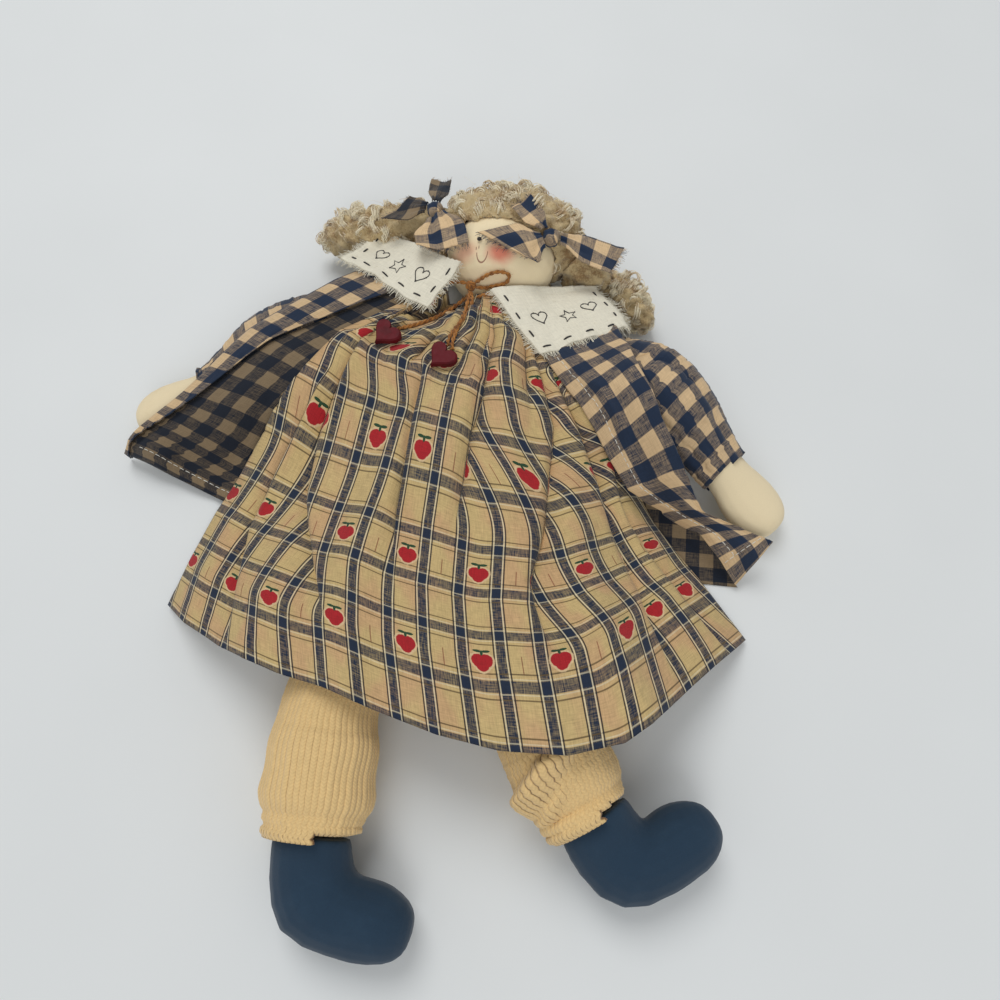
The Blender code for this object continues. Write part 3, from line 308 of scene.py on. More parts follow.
def skin(name, node, voxel, finish, relief=None):
    """A stuffed piece: the solid's own form, rounded by a fine even mesh, with a relief on it."""
    made = bpy.data.objects.new(name, nodes[node].data.copy())
    bpy.context.scene.collection.objects.link(made)
    remesh = made.modifiers.new("even", "REMESH")
    remesh.mode = "VOXEL"
    remesh.voxel_size = voxel
    soften = made.modifiers.new("soften", "SMOOTH")
    soften.factor = 0.5
    soften.iterations = 4
    shape = bpy.data.meshes.new_from_object(made.evaluated_get(bpy.context.evaluated_depsgraph_get()))
    made.modifiers.clear()
    made.data = shape
    if relief:
        normals = [corner.normal.copy() for corner in shape.vertices]
        for corner, normal in zip(shape.vertices, normals):
            corner.co += normal * relief(corner.co, normal)
            corner.co.z = max(corner.co.z, 0)
    shape.shade_smooth()
    give(made, finish)
    return made


def bind(made, body, slot, *replaced):
    """A piece fixed to its body, with the solids that it stands for hidden. Its slot is not used."""
    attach(made, body)
    if replaced:
        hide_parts(*replaced)
    return made


MUSLIN = colour(240, 222, 184)
MUSLIN_STAIN = colour(205, 172, 120)
MUSLIN_STAINS = 38
MUSLIN_THREAD = 0.45 * MM
BODY_WEAVE, FACE_WEAVE = 0.12 * MM, 0.1 * MM


def muslin(name):
    """Cream cotton, a little stained. Gives its finish, place, tint and weave."""
    cotton = Finish(name, Roughness=0.92, Sheen_Weight=0.12)
    place = cotton.place()
    stain = place.specks(MUSLIN_STAINS, 4, 0.6)
    weave = place.specks(1 / MUSLIN_THREAD, 1)
    tint = cotton.mix(stain.fade(0.5, 0.95) * 0.5, MUSLIN, MUSLIN_STAIN)
    return cotton, place, tint, weave


body_cotton, _, tint, weave = muslin("muslin")
body_cotton.feed("Base Color", body_cotton.darken(tint, 0.95 + 0.1 * weave))
body_cotton.bump(weave, BODY_WEAVE, 0.6)

BODY_VOXEL = 1.2 * MM
PUCKER = 0.25 * MM
PUCKER_WAVE = 900


def puckered(at, normal):
    """Small dents where the seam round the edge draws the cloth in."""
    seam = max(0, 1 - abs(normal.z) * 3)
    return -PUCKER * seam * (0.6 + 0.6 * math.sin(at.x * PUCKER_WAVE) * math.sin(at.y * PUCKER_WAVE))


for body in ("torso", "arm_right", "arm_left", "leg_right", "leg_left"):
    stuffed = bind(skin(body + "_muslin", body, BODY_VOXEL, body_cotton, puckered), body, "muslin", body)


# The head: the same muslin, painted a tenth lighter as painted light, with a face drawn on in fine
# brown pen, a rub of rouge on the cheeks, and two black thread knots for eyes.
HEAD_VOXEL = 0.9 * MM
SMILE_PLACE = (-9.6 * MM, 95 * MM)
SMILE_HALF_WIDTH = 3.1 * MM
SMILE_DEPTH = 4.3 * MM
SMILE_LINE = 0.28 * MM
SMILE_END = 0.3 * MM
TICK_PLACES = ((-13.2 * MM, 97 * MM), (-11.7 * MM, 97.4 * MM))
TICK_SIZE = (0.24 * MM, 0.8 * MM)
PEN_BROWN = colour(150, 104, 84)
PEN_GRAIN = 900
ROUGE = colour(210, 102, 82)
ROUGE_PLACE = (0.5 * MM, 95 * MM)
ROUGE_SIZE = (8.5 * MM, 5.5 * MM)
SECOND_ROUGE_PLACE = (-20 * MM, 96.5 * MM)
ROUGE_RUB = 240
FACE_FRONT = (42 * MM, 47 * MM)
FACE_PAINTED_LIGHT = 1.1

face_cotton, place, tint, weave = muslin("face_muslin")
x, y, z = place.parts()


def oval(x, y, centre, size):
    """How far out from an oval's centre a point is: 1 on its edge."""
    across, along = (x - centre[0]) / size[0], (y - centre[1]) / size[1]
    return (across * across + along * along).maths("SQRT")


front = z.fade(*FACE_FRONT)
rouge_edge = place.specks(ROUGE_RUB) * 0.35
rouge = (oval(x, y, ROUGE_PLACE, ROUGE_SIZE) + rouge_edge).fade(1.5, 0.4) * front * 0.85
faint = (oval(x, y, SECOND_ROUGE_PLACE, ROUGE_SIZE) + rouge_edge).fade(1.5, 0.3) * front * 0.45
smile_ring = oval(x, y, SMILE_PLACE, (SMILE_HALF_WIDTH, SMILE_DEPTH))
line = SMILE_LINE / SMILE_HALF_WIDTH
smile = (smile_ring - 1).maths("ABSOLUTE").fade(1.3 * line, 0.4 * line)
drawn = smile * (y - SMILE_PLACE[1]).fade(SMILE_END, -SMILE_END)
for tick in TICK_PLACES:
    drawn = drawn.either(oval(x, y, tick, TICK_SIZE).fade(1.3, 0.7))
drawn = drawn * front * (0.75 + 0.4 * place.specks(PEN_GRAIN))
tint = face_cotton.mix(rouge.either(faint), tint, ROUGE)
tint = face_cotton.mix(drawn, tint, PEN_BROWN)
# Painted light: the whole head's muslin is painted a tenth lighter than the body's.
face_cotton.feed("Base Color", face_cotton.darken(tint, FACE_PAINTED_LIGHT * (0.96 + 0.08 * weave)))
face_cotton.bump(weave, FACE_WEAVE, 0.6)
head = bind(skin("head_muslin", "head", HEAD_VOXEL, face_cotton), "head", "muslin", "head")


class Threads:
    """Any number of round threads in one piece, each a path with its radius."""

    def __init__(self, sides):
        self.sides = sides
        self.corners = []
        self.faces = []

    def add(self, path, radius, taper=0):
        """A thread along a path; taper is how much of its radius it loses at its far end."""
        path = [Vector(point) for point in path]
        way = (path[1] - path[0]).normalized()
        side = way.orthogonal().normalized()
        start = len(self.corners)
        last = len(path) - 1
        for k, point in enumerate(path):
            way = (path[min(k + 1, last)] - path[max(k - 1, 0)]).normalized()
            side = (side - way * side.dot(way)).normalized()
            other = way.cross(side)
            thick = radius * (1 - taper * k / last)
            for corner in range(self.sides):
                turn = 2 * math.pi * corner / self.sides
                self.corners.append(point + (side * math.cos(turn) + other * math.sin(turn)) * thick)
        for k in range(last):
            for corner in range(self.sides):
                a = start + k * self.sides + corner
                b = start + k * self.sides + (corner + 1) % self.sides
                self.faces.append((a, b, b + self.sides, a + self.sides))
        self.faces.append(tuple(start + k for k in reversed(range(self.sides))))
        self.faces.append(tuple(start + last * self.sides + k for k in range(self.sides)))

    def made(self, name, finish, body, slot, *replaced):
        """The piece of all the threads added so far, fixed to its body."""
        shape = bpy.data.meshes.new(name)
        shape.from_pydata([tuple(corner) for corner in self.corners], [], self.faces)
        shape.shade_smooth()
        piece = bpy.data.objects.new(name, shape)
        bpy.context.scene.collection.objects.link(piece)
        give(piece, finish)
        return bind(piece, body, slot, *replaced)


EYE_THREAD = 0.42 * MM
EYE_TURNS, EYE_STEPS = 3, 14
BLACK_THREAD = colour(28, 24, 24)
BLACK_FUZZ = 3000
FUZZ_BUMP = 0.05 * MM
black_thread = Finish("black_thread", Roughness=0.7, Sheen_Weight=0.2)
fuzz = black_thread.place().specks(BLACK_FUZZ)
black_thread.feed("Base Color", black_thread.darken(BLACK_THREAD, 0.7 + 0.9 * fuzz))
black_thread.bump(fuzz, FUZZ_BUMP)
for side in ("right", "left"):
    low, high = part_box("eye_" + side)
    centre = (low + high) / 2
    centre.z = low.z
    knot = Threads(6)
    rounds = []
    for k in range(EYE_STEPS * EYE_TURNS):
        turn = 2 * math.pi * k / EYE_STEPS
        share = k / (EYE_STEPS * EYE_TURNS)
        out = (0.35 + 0.65 * math.sin(math.pi * share) ** 2) * (high.x - low.x) / 2
        rise = EYE_THREAD * (0.6 + 1.6 * share)
        rounds.append(centre + Vector((math.cos(turn) * out, math.sin(turn) * out, rise)))
    knot.add(rounds, EYE_THREAD)
    knot.made("eye_knot_" + side, black_thread, "head", "black_thread", "eye_" + side)


# The hair: combed wool set in loose curls over a matted pad, in two bunches held by the bows,
# with stray ends standing off it.
WOOL_LIGHT = colour(255, 245, 216)
WOOL_DARK = colour(192, 160, 118)
# Painted shade: the pad's wool colours are darker than the curls', as shade between them.
WOOL_PAD_SHADE_LIGHT = colour(206, 184, 140)
WOOL_PAD_SHADE_DARK = colour(152, 122, 82)
WOOL_LUMPS, WOOL_FIBRES = 140, 900
WOOL_BUMP = 0.5 * MM
WOOL_VOXEL = 1.4 * MM
LUMP = 3.2 * MM
CURL_RADIUS = (2.6 * MM, 4.4 * MM)
CURL_FIBRES = 7
CURL_STEPS = 11
CURL_TURNS = (1.1, 2.1)
CURL_RISE = (1.4 * MM, 2.6 * MM)
CURL_SINK = 2.2 * MM
CURL_SCATTER = 2 * MM
CURL_SPREAD = 0.65 * MM
FACE_GAP = 1 * MM
FIBRE_RADIUS = 0.3 * MM
STRAY_LENGTH = (4 * MM, 8 * MM)
STRAY_RADIUS = 0.08 * MM
STRAY_CLEAR = 4 * MM
STRAY_LOW = 5 * MM
STRAY_END = 8 * MM
CHEEK, CHEEK_LOW, CHEEK_RISE = 25 * MM, 14 * MM, 2.5 * MM
HAIR = (
    ("hair_crown", 340, 3), ("hair_nape", 20, 5), ("hair_right", 190, 7), ("hair_left", 150, 11),
    ("hair_left_curls", 120, 13),
)


def combed(name, dark, light):
    """Wool, darker between its lumps and fibres."""
    wool = Finish(name, Roughness=0.95, Sheen_Weight=0.35, Sheen_Roughness=0.5)
    place = wool.place()
    lumps = place.specks(WOOL_LUMPS, 3)
    fibre = place.specks(WOOL_FIBRES, 3, 0.7)
    shade = (0.55 * lumps + 0.45 * fibre).fade(0.36, 0.56)
    wool.feed("Base Color", wool.mix(shade, dark, light))
    wool.bump(fibre, WOOL_BUMP)
    return wool


wool = combed("wool", WOOL_DARK, WOOL_LIGHT)
# The pad under the curls is painted darker as shade.
wool_pad = combed("wool_pad", WOOL_PAD_SHADE_DARK, WOOL_PAD_SHADE_LIGHT)
bow_cover = Surface(
    "bow_right_lower", "bow_right_outer", "bow_right_tip", "bow_right_knot", "bow_left_face",
    "bow_left_upper", "bow_left_outer", "bow_left_knot", "collar_right", "collar_left",
)
face_cover = Surface("head")


def under_bow(at, reach=0):
    """Whether a bow or a collar lies over a place, or within reach of it."""
    return any(
        bow_cover.hit((at.x + dx, at.y + dy, at.z - LUMP), UP)
        for dx, dy in ((0, 0), (reach, 0), (-reach, 0), (0, reach), (0, -reach))
    )


def lumpy(at, normal):
    """The matted pad's lumps, which don't rise under a bow."""
    wave = math.sin(at.x * 520 + 1.3 * math.sin(at.y * 430)) * math.sin(at.y * 610 + at.z * 380)
    fine = math.sin(at.x * 1300 + at.z * 900) * math.sin(at.y * 1500 + at.x * 700)
    rise = LUMP * (0.5 * wave + 0.25 * fine)
    return min(rise, 0) if under_bow(at) else rise


def spiral(start, way, out, radius, rise, turns, chance):
    """A curl's path: a coil that lies along the wool and draws in towards its end."""
    side = way.cross(out).normalized()
    path = []
    count = int(CURL_STEPS * turns)
    phase = chance.uniform(0, 2 * math.pi)
    for k in range(count + 1):
        share = k / count
        turn = phase + 2 * math.pi * turns * share
        wide = radius * (0.5 + 0.5 * math.sin(math.pi * (0.15 + 0.7 * share)))
        spoke = side * math.cos(turn) + out * math.sin(turn)
        path.append(start + way * rise * turns * (share - 0.5) + spoke * wide)
    return path


def lock(path, threads, chance):
    """Fibres that run side by side along a curl, each a little off its path."""
    for _ in range(CURL_FIBRES):
        off = Vector([chance.gauss(0, 1) for _ in range(3)]) * CURL_SPREAD
        sway = Vector([chance.gauss(0, 1) for _ in range(3)]) * CURL_SPREAD * 0.6
        phase = chance.uniform(0, 6)
        fibre = [point + off + sway * math.sin(phase + 0.5 * k) for k, point in enumerate(path)]
        for point in fibre:
            point.z = max(point.z, FIBRE_RADIUS)
        threads.add(fibre, FIBRE_RADIUS * chance.uniform(0.7, 1.25), 0.5)


for name, count, seed in HAIR:
    pad = bind(skin(name + "_pad", name, WOOL_VOXEL, wool_pad, lumpy), "head", "curl", name)
    chance = random.Random(seed)
    low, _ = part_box(name)
    data = nodes[name].data
    spots = [(face.center.copy(), face.normal.copy(), face.area) for face in data.polygons]
    if name == "hair_left":
        for face in nodes["head"].data.polygons:
            if face.center.x > CHEEK and face.center.z > CHEEK_LOW:
                spots.append((face.center + face.normal * CHEEK_RISE, face.normal.copy(), 2 * face.area))
    weights = [area for _, _, area in spots]
    curls, strays = Threads(4), Threads(3)
    for _ in range(count):
        at, out, _ = chance.choices(spots, weights)[0]
        at = at + Vector([chance.uniform(-CURL_SCATTER, CURL_SCATTER) for _ in range(3)])
        way = out.cross(Vector([chance.uniform(-1, 1) for _ in range(3)])).normalized()
        radius = chance.uniform(*CURL_RADIUS)
        near_face = at.x < CHEEK and face_cover.tree.find_nearest(at)[3] < radius + FACE_GAP
        if near_face or under_bow(at, radius) or at.z < radius or at.y < low.y + radius:
            continue
        start = at + out * chance.uniform(-CURL_SINK, 0)
        rise, turns = chance.uniform(*CURL_RISE), chance.uniform(*CURL_TURNS)
        lock(spiral(start, way, out, radius, rise, turns, chance), curls, chance)
    for _ in range(count):
        at, out, _ = chance.choices(spots, weights)[0]
        near_face = face_cover.tree.find_nearest(at)[3] < STRAY_CLEAR
        if near_face or under_bow(at, STRAY_CLEAR) or at.z < STRAY_LOW or at.y < low.y + STRAY_END:
            continue
        bend = (Vector([chance.uniform(-1, 1) for _ in range(3)]) - out * 0.8).normalized()
        reach = chance.uniform(*STRAY_LENGTH)
        path = [at + (out * share + bend * 1.4 * share * share) * reach for share in (0, 0.25, 0.5, 0.75, 1)]
        for point in path:
            point.z = max(point.z, STRAY_RADIUS)
        strays.add(path, STRAY_RADIUS, 0.5)
    curls.made(name + "_curls", wool, "head", "curl")
    strays.made(name + "_strays", wool, "head", "curl")


# The dress: tan cotton woven with a navy windowpane plaid and small red apples, gathered into
# the neck and flared, its hem turned up. A front, and a back that lies under it.
NECK = (0, 62 * MM)
SKIRT = 235 * MM
RIGHT_SIDE = (
    (-0.15, -0.08), (-0.24, -0.025), (-0.365, 0.06), (-0.457, 0.195), (-0.557, 0.37), (-0.626, 0.502),
    (-0.66, 0.621), (-0.685, 0.736),
)
LEFT_SIDE = (
    (0.106, -0.06), (0.213, 0.051), (0.281, 0.157), (0.357, 0.289), (0.434, 0.417), (0.49, 0.485),
    (0.545, 0.545), (0.655, 0.677),
)
HEM = (
    (-0.685, 0.736), (-0.591, 0.787), (-0.481, 0.834), (-0.336, 0.879), (-0.234, 0.898), (-0.123, 0.932),
    (-0.004, 0.962), (0.119, 0.979), (0.247, 0.974), (0.353, 0.94), (0.451, 0.857), (0.553, 0.762),
    (0.655, 0.677),
)
DRESS_ROWS, DRESS_COLUMNS = 170, 330
PLAN_COLUMNS = 120
FLAT_SAMPLES = 3000
DRESS_CLOTH = 0.55 * MM
CLOTH_GAP = 0.25 * MM
CEILING_STEPS = 8
CEILING_RISE = 0.7 * MM
SETTLE = 0.9 * MM
DRESS_SETTLE = 3 * MM
DRESS_SAG = 1.3 * MM
DRESS_SAG_PASSES = 40
DRESS_LIFT = 1.2 * MM
DRIFT = 1.3 * MM
HEM_TURN, HEM_TURN_AT = 0.5 * MM, 0.953
SWING_REACH = 22 * MM
SWING_STEPS = 11
WARP_STEP, WARP_WIDTH = 18.5 * MM, 4.3 * MM
WEFT_STEP, WEFT_WIDTH = 23.5 * MM, 4.6 * MM
WARP_SHIFT = 12.7 * MM
PIN_WIDTH = 0.5 * MM
CREAM_WARP_OUT, CREAM_WEFT_OUT = 0.35 * MM, 0.6 * MM
BLACK_PIN_OUT, BLACK_PIN_WIDTH = 1.15 * MM, 0.7 * MM
OLIVE_PIN_OUT, OLIVE_PIN_WIDTH = 2.6 * MM, 0.6 * MM
THREAD = 0.55 * MM
SLUB = 6 * MM
YARN_STRAY = 0.16 * MM
YARN_BUMP = 0.22 * MM
BLUSH = (55, 40, 1)
WOBBLE = (700, 700, 1)
TAN = colour(202, 176, 122)
TAN_PINK = colour(201, 165, 120)
NAVY = colour(26, 40, 62)
PIN_CREAM = colour(226, 216, 184)
PIN_BLACK = colour(30, 30, 40)
PIN_OLIVE = colour(96, 78, 48)
APPLE_RED = colour(170, 26, 34)
APPLE_HALO = colour(220, 192, 150)
LEAF_GREEN = colour(38, 70, 44)
DASH_BROWN = colour(126, 62, 44)
APPLE_HIGH = 8.8 * MM
APPLE_SQUEEZE = 0.86
APPLE_DROP = 3 * MM
APPLE_HALO_WIDTH = 0.8 * MM
DASH_EDGE = (0.4 * MM, 0.12 * MM)


def outline(shares, share, origin, size):
    """Places along an outline written as shares of a size, counted down from an origin."""
    table = np.array(shares)
    step = np.clip(share, 0, 1) * (len(shares) - 1)
    across = np.interp(step, range(len(shares)), table[:, 0])
    down = np.interp(step, range(len(shares)), table[:, 1])
    return np.stack((origin[0] + across * size, origin[1] - down * size), -1)


def ease(share):
    """From 0 to 1 with a soft start and end."""
    share = np.clip(share, 0, 1)
    return share * share * (3 - 2 * share)


def run_lengths(points, axis):
    """How far along its row or column each point of a grid lies, over the surface."""
    steps = np.linalg.norm(np.diff(points, axis=axis), axis=-1)
    start = np.zeros_like(np.take(steps, [0], axis=axis))
    return np.concatenate((start, np.cumsum(steps, axis=axis)), axis=axis)


def sheet(name, places, cut, thickness, finish, wrapped=False):
    """Cloth over a grid of places, thickened downwards, which knows where it was on the flat cut."""
    rows, columns = places.shape[:2]
    index = np.arange(rows * columns).reshape(rows, columns)
    faces = np.stack((index[:-1, :-1], index[:-1, 1:], index[1:, 1:], index[1:, :-1]), -1).reshape(-1, 4)
    shape = bpy.data.meshes.new(name)
    shape.from_pydata(places.reshape(-1, 3).tolist(), [], faces.tolist())
    spots = np.zeros((rows * columns, 3), np.float32)
    spots[:, :2] = cut.reshape(-1, 2)
    shape.attributes.new("cut", "FLOAT_VECTOR", "POINT").data.foreach_set("vector", spots.ravel())
    shape.shade_smooth()
    if not wrapped and sum(face.normal.z * face.area for face in shape.polygons) < 0:
        shape.flip_normals()
    made = bpy.data.objects.new(name, shape)
    bpy.context.scene.collection.objects.link(made)
    wall = made.modifiers.new("cloth", "SOLIDIFY")
    wall.thickness = thickness
    wall.offset = -1
    give(made, finish)
    return made


def slubs(cut, thread=THREAD, slub=SLUB, shift=(7, 3, 0)):
    """Uneven yarn: fine streaks that run with the warp, and others with the weft."""
    warp = cut.stretched((1 / thread, 1 / slub, 1)).speck(2, 0.6)
    weft = cut.stretched((1 / slub, 1 / thread, 1)).shifted(shift).speck(2, 0.6)
    return warp, weft


def plaid(name):
    """Warp and weft are coloured apart and woven together, so the crossings come out navy."""
    cotton = Finish(name, Roughness=0.93, Sheen_Weight=0.1)
    cut = cotton.cut()
    u, v, _ = cut.parts()
    warp, weft = slubs(cut)
    blush = cut.stretched(BLUSH).speck()
    tan = cotton.mix(blush.fade(0.42, 0.62), TAN, TAN_PINK)
    dark_warp = u.stripe(WARP_STEP, 0, WARP_WIDTH, YARN_STRAY)
    dark_weft = v.stripe(WEFT_STEP, 0, WEFT_WIDTH, YARN_STRAY)
    over = (0.88 + 1.1 * (warp - weft)).maths("MINIMUM", 1)
    under = (0.76 + 1.1 * (weft - warp)).maths("MINIMUM", 1)
    crossing = dark_warp * dark_weft
    one_way = (dark_warp - crossing) * over + (dark_weft - crossing) * under
    tint = cotton.mix(crossing + one_way, tan, NAVY)
    from_warp = u.about(0, WARP_STEP).maths("ABSOLUTE")
    from_weft = v.about(0, WEFT_STEP).maths("ABSOLUTE")

    def pin(away, at, width=PIN_WIDTH):
        """A thin line on each side of a band."""
        return (away - at).maths("ABSOLUTE").fade(0.5 * width + YARN_STRAY, 0.5 * width - YARN_STRAY)

    warp_side, weft_side = WARP_WIDTH / 2, WEFT_WIDTH / 2
    tint = cotton.mix(pin(from_weft, weft_side + OLIVE_PIN_OUT, OLIVE_PIN_WIDTH) * 0.85, tint, PIN_OLIVE)
    tint = cotton.mix(pin(from_weft, weft_side + CREAM_WEFT_OUT) * 0.5, tint, PIN_CREAM)
    tint = cotton.mix(pin(from_warp, warp_side + CREAM_WARP_OUT) * 0.75, tint, PIN_CREAM)
    tint = cotton.mix(pin(from_warp, warp_side + BLACK_PIN_OUT, BLACK_PIN_WIDTH) * 0.95, tint, PIN_BLACK)
    wobble = cut.stretched(WOBBLE).speck() * 0.22 - 0.11
    high = APPLE_HIGH
    x = u.about(WARP_STEP / 2, 2 * WARP_STEP) * APPLE_SQUEEZE
    y = v.about(WEFT_STEP + WEFT_WIDTH / 2 + APPLE_DROP + high / 2, 2 * WEFT_STEP)

    def apple(grown):
        """Two shoulders and a narrower base."""
        size = 0.34 * high + grown
        shoulder = oval(x.maths("ABSOLUTE"), y, (0.16 * high, 0.07 * high), (size, size * 1.05))
        base = oval(x, y, (0, -0.12 * high), (size * 0.95, size))
        return (shoulder.maths("MINIMUM", base) + wobble).fade(1.06, 0.94)

    lean = x.maths("ABSOLUTE") - 0.32 * (y - 0.5 * high)
    leaf = oval(lean, y, (0.17 * high, 0.6 * high), (0.2 * high, 0.08 * high))
    stem = oval(x, y, (0, 0.5 * high), (0.07 * high, 0.16 * high))
    leaves = (leaf.maths("MINIMUM", stem) + wobble).fade(1.08, 0.92)
    beside_dash = u.about(1.5 * WARP_STEP, 2 * WARP_STEP).maths("ABSOLUTE")
    along_dash = (y + 0.1 * high).maths("ABSOLUTE")
    dash = beside_dash.fade(*DASH_EDGE) * along_dash.fade(0.48 * high, 0.38 * high)
    tint = cotton.mix(dash * 0.75, tint, DASH_BROWN)
    tint = cotton.mix(apple(APPLE_HALO_WIDTH) * 0.85, tint, APPLE_HALO)
    tint = cotton.mix(apple(0), tint, APPLE_RED)
    tint = cotton.mix(leaves, tint, LEAF_GREEN)
    cotton.feed("Base Color", cotton.darken(tint, 0.42 + 0.58 * (warp + weft)))
    cotton.bump(warp + weft, YARN_BUMP, 0.7)
    return cotton


def skirt_plan(rows, columns, inset=0):
    """The skirt's places in plan, from the neck down and from its right to its left."""
    share = np.linspace(0, 1, rows)[:, None]
    across = np.linspace(0, 1, columns)[None, :]
    right = outline(RIGHT_SIDE, share[:, 0], NECK, SKIRT)[:, None]
    left = outline(LEFT_SIDE, share[:, 0], NECK, SKIRT)[:, None]
    hem = outline(HEM, across[0], NECK, SKIRT)[None]
    level = right + (left - right) * across[..., None]
    chord = hem[:, :1] + (hem[:, -1:] - hem[:, :1]) * across[..., None]
    plan = level + (hem - chord) * share[..., None]
    plan[..., 0] += inset * (1 - 2 * across) * share
    plan[..., 1] += inset * 4 * across * (1 - across) * share
    return smoothed(plan, 6), share, across


def under(plan, *names):
    """How high cloth may stand: under what lies or swings on it, and rising slowly from there."""
    ceiling = Surface(*names).undersides(plan)
    for joint in frame["joints"]:
        if joint["child"] in names:
            surface, pin = Surface(joint["child"]), np.array(joint["pos_m"][:2])
            near = np.linalg.norm(plan - pin, axis=-1) < SWING_REACH
            for degrees in np.linspace(*joint["range_deg"], SWING_STEPS):
                swing = math.radians(degrees)
                back = np.array(((math.cos(swing), -math.sin(swing)), (math.sin(swing), math.cos(swing))))
                before = (plan[near] - pin) @ back + pin
                ceiling[near] = np.minimum(ceiling[near], surface.undersides(before[None])[0])
    ceiling -= CLOTH_GAP + DRESS_CLOTH / 2
    for _ in range(CEILING_STEPS):
        ceiling = np.minimum(ceiling, beside(ceiling, np.inf).min(0) + CEILING_RISE)
    return ceiling


def laid(lowest, relief, ceiling, settle=SETTLE):
    """A relief that rises from the solid it stands for, and stays under what covers it."""
    return np.maximum(lowest - settle, np.minimum(lowest + relief, ceiling))


def crest(across, count, sharp):
    """Round pleats with sharp valleys between them, in a row."""
    return np.abs(np.sin(math.pi * count * across)) ** sharp


# The creases that take up the gathered cloth. Each is where it lies across the skirt at some
# shares of the way down, the four shares between which it starts, is full and ends, how much
# it takes up, and the side that the deeper cloth hangs over it from: -1 right, 1 left, 0 both.
CREASES = [
    (((0, 0.53), (0.15, 0.562), (0.3, 0.577), (0.4, 0.548), (0.6, 0.53)), (-1, 0, 0.36, 0.58), 1.1, 0),
    (
        (
            (0.05, 0.02), (0.17, 0.06), (0.31, 0.097), (0.48, 0.134), (0.61, 0.197), (0.71, 0.258),
            (0.88, 0.32),
        ),
        (0, 0.12, 0.6, 0.88), 1.3, 1,
    ),
    (
        ((0, 0.72), (0.24, 0.783), (0.35, 0.793), (0.45, 0.753), (0.55, 0.719), (0.66, 0.676), (0.9, 0.68)),
        (0.05, 0.2, 0.6, 0.86), 1.3, -1,
    ),
    (((0.2, 0.82), (0.36, 0.866), (0.48, 0.88), (0.78, 0.87), (1, 0.84)), (0.2, 0.34, 0.75, 1.05), 1, -1),
    (((0.4, 0.94), (0.52, 0.925), (0.71, 0.935), (1, 0.95)), (0.35, 0.5, 0.9, 1.1), 0.6, -1),
    (((0.25, 0.34), (0.5, 0.39), (0.8, 0.44)), (0.25, 0.4, 0.5, 0.78), 0.35, 0),
    (((0.4, 0.07), (0.7, 0.1), (1, 0.17)), (0.35, 0.55, 0.8, 1.1), 0.5, 1),
]
NECK_GATHERS = 12
for k in range(NECK_GATHERS):
    at = 0.045 + 0.083 * k + 0.012 * math.sin(5 * k)
    last = 0.24 + 0.12 * math.sin(2.4 * k + 1)
    CREASES.append((((0, at), (0.5, 0.5 + (at - 0.5) * 1.04)), (-1, -0.5, 0.3 * last, last), 0.55, 0))
CREASE_GAP = 0.8 * MM
CREASE_WALLS = {-1: (1.3 * MM, 10 * MM), 0: (4 * MM, 4 * MM), 1: (10 * MM, 1.3 * MM)}
FULL_CREASE = 8 * MM
PLEAT_HEIGHTS = ((0, 4), (0.08, 6), (0.3, 8), (0.6, 7), (0.85, 4), (1, 2))
dress_cotton = plaid("plaid")
base_plan, share, _ = skirt_plan(DRESS_ROWS, PLAN_COLUMNS)
base_run = run_lengths(base_plan, 1)
whole = base_run[-1, -1]
plan = np.zeros((DRESS_ROWS, DRESS_COLUMNS, 2))
pleats = np.zeros((DRESS_ROWS, DRESS_COLUMNS))
cut = np.zeros((DRESS_ROWS, DRESS_COLUMNS, 2))
for i, down in enumerate(share[:, 0]):
    wide = base_run[i, -1]
    at = np.linspace(0, wide, FLAT_SAMPLES)
    takes = []
    for _, (start, full, fade, end), much, _ in CREASES:
        opened, closed = ease((down - start) / (full - start)), ease((down - fade) / (end - fade))
        takes.append(much * float(opened * (1 - closed)))
    spare = (whole - wide) / max(sum(takes), 1e-6)
    flat = at.copy()
    height = np.ones_like(at)
    for (places, _, _, side), take in zip(CREASES, takes):
        hidden = take * spare
        here = wide * np.interp(down, *zip(*places))
        flat += hidden * ease((at - here) / CREASE_GAP + 0.5)
        left_wall, right_wall = CREASE_WALLS[side]
        away = at - here
        deep = min(1, hidden / FULL_CREASE)
        wall = np.where(away > 0, right_wall, left_wall)
        height = np.minimum(height, 1 - deep * np.exp(-np.abs(away) / wall))
    steps = np.linspace(0, flat[-1], DRESS_COLUMNS)
    spots = np.interp(steps, flat, at)
    for axis in (0, 1):
        plan[i, :, axis] = np.interp(spots, base_run[i], base_plan[i, :, axis])
    pleats[i] = np.interp(spots, at, height) * np.interp(down, *zip(*PLEAT_HEIGHTS)) * MM
    cut[i, :, 0] = steps - np.interp(wide / 2, at, flat) - WARP_SHIFT
cut[..., 1] = (1 - share) * SKIRT
across = np.linspace(0, 1, DRESS_COLUMNS)[None]
tops = Surface("dress_front").tops(plan)
sagging = np.maximum(smoothed(tops, DRESS_SAG_PASSES), tops - DRESS_SAG)
lowest = lifted(plan, sagging, DRESS_LIFT, "jacket_front_right", "torso")
drift = DRIFT * np.sin(13 * across + 7 * share) * np.sin(9 * share + 6 * across)
hem_turn = HEM_TURN * ease((share - HEM_TURN_AT) * 400)
edges = np.minimum(1, 20 * np.minimum(across, 1 - across))
relief = np.maximum(pleats + drift * ease(share / 0.3), 0) * edges + hem_turn
ceiling = under(
    plan, "jacket_front_left", "collar_right", "collar_left", "heart_right", "heart_left",
    "twine_tail_right", "twine_tail_left", "twine_knot", "twine_loop", "neck_twine",
)
bare = lifted(plan, lowest - DRESS_SETTLE, SETTLE, "jacket_front_right", "torso")
dress = np.dstack((plan, laid(lowest, smoothed(relief, 2), ceiling, lowest - bare)))
skirt = sheet("dress_front_cloth", dress, cut, DRESS_CLOTH, dress_cotton)
bind(skirt, "torso", "plaid", "dress_front")

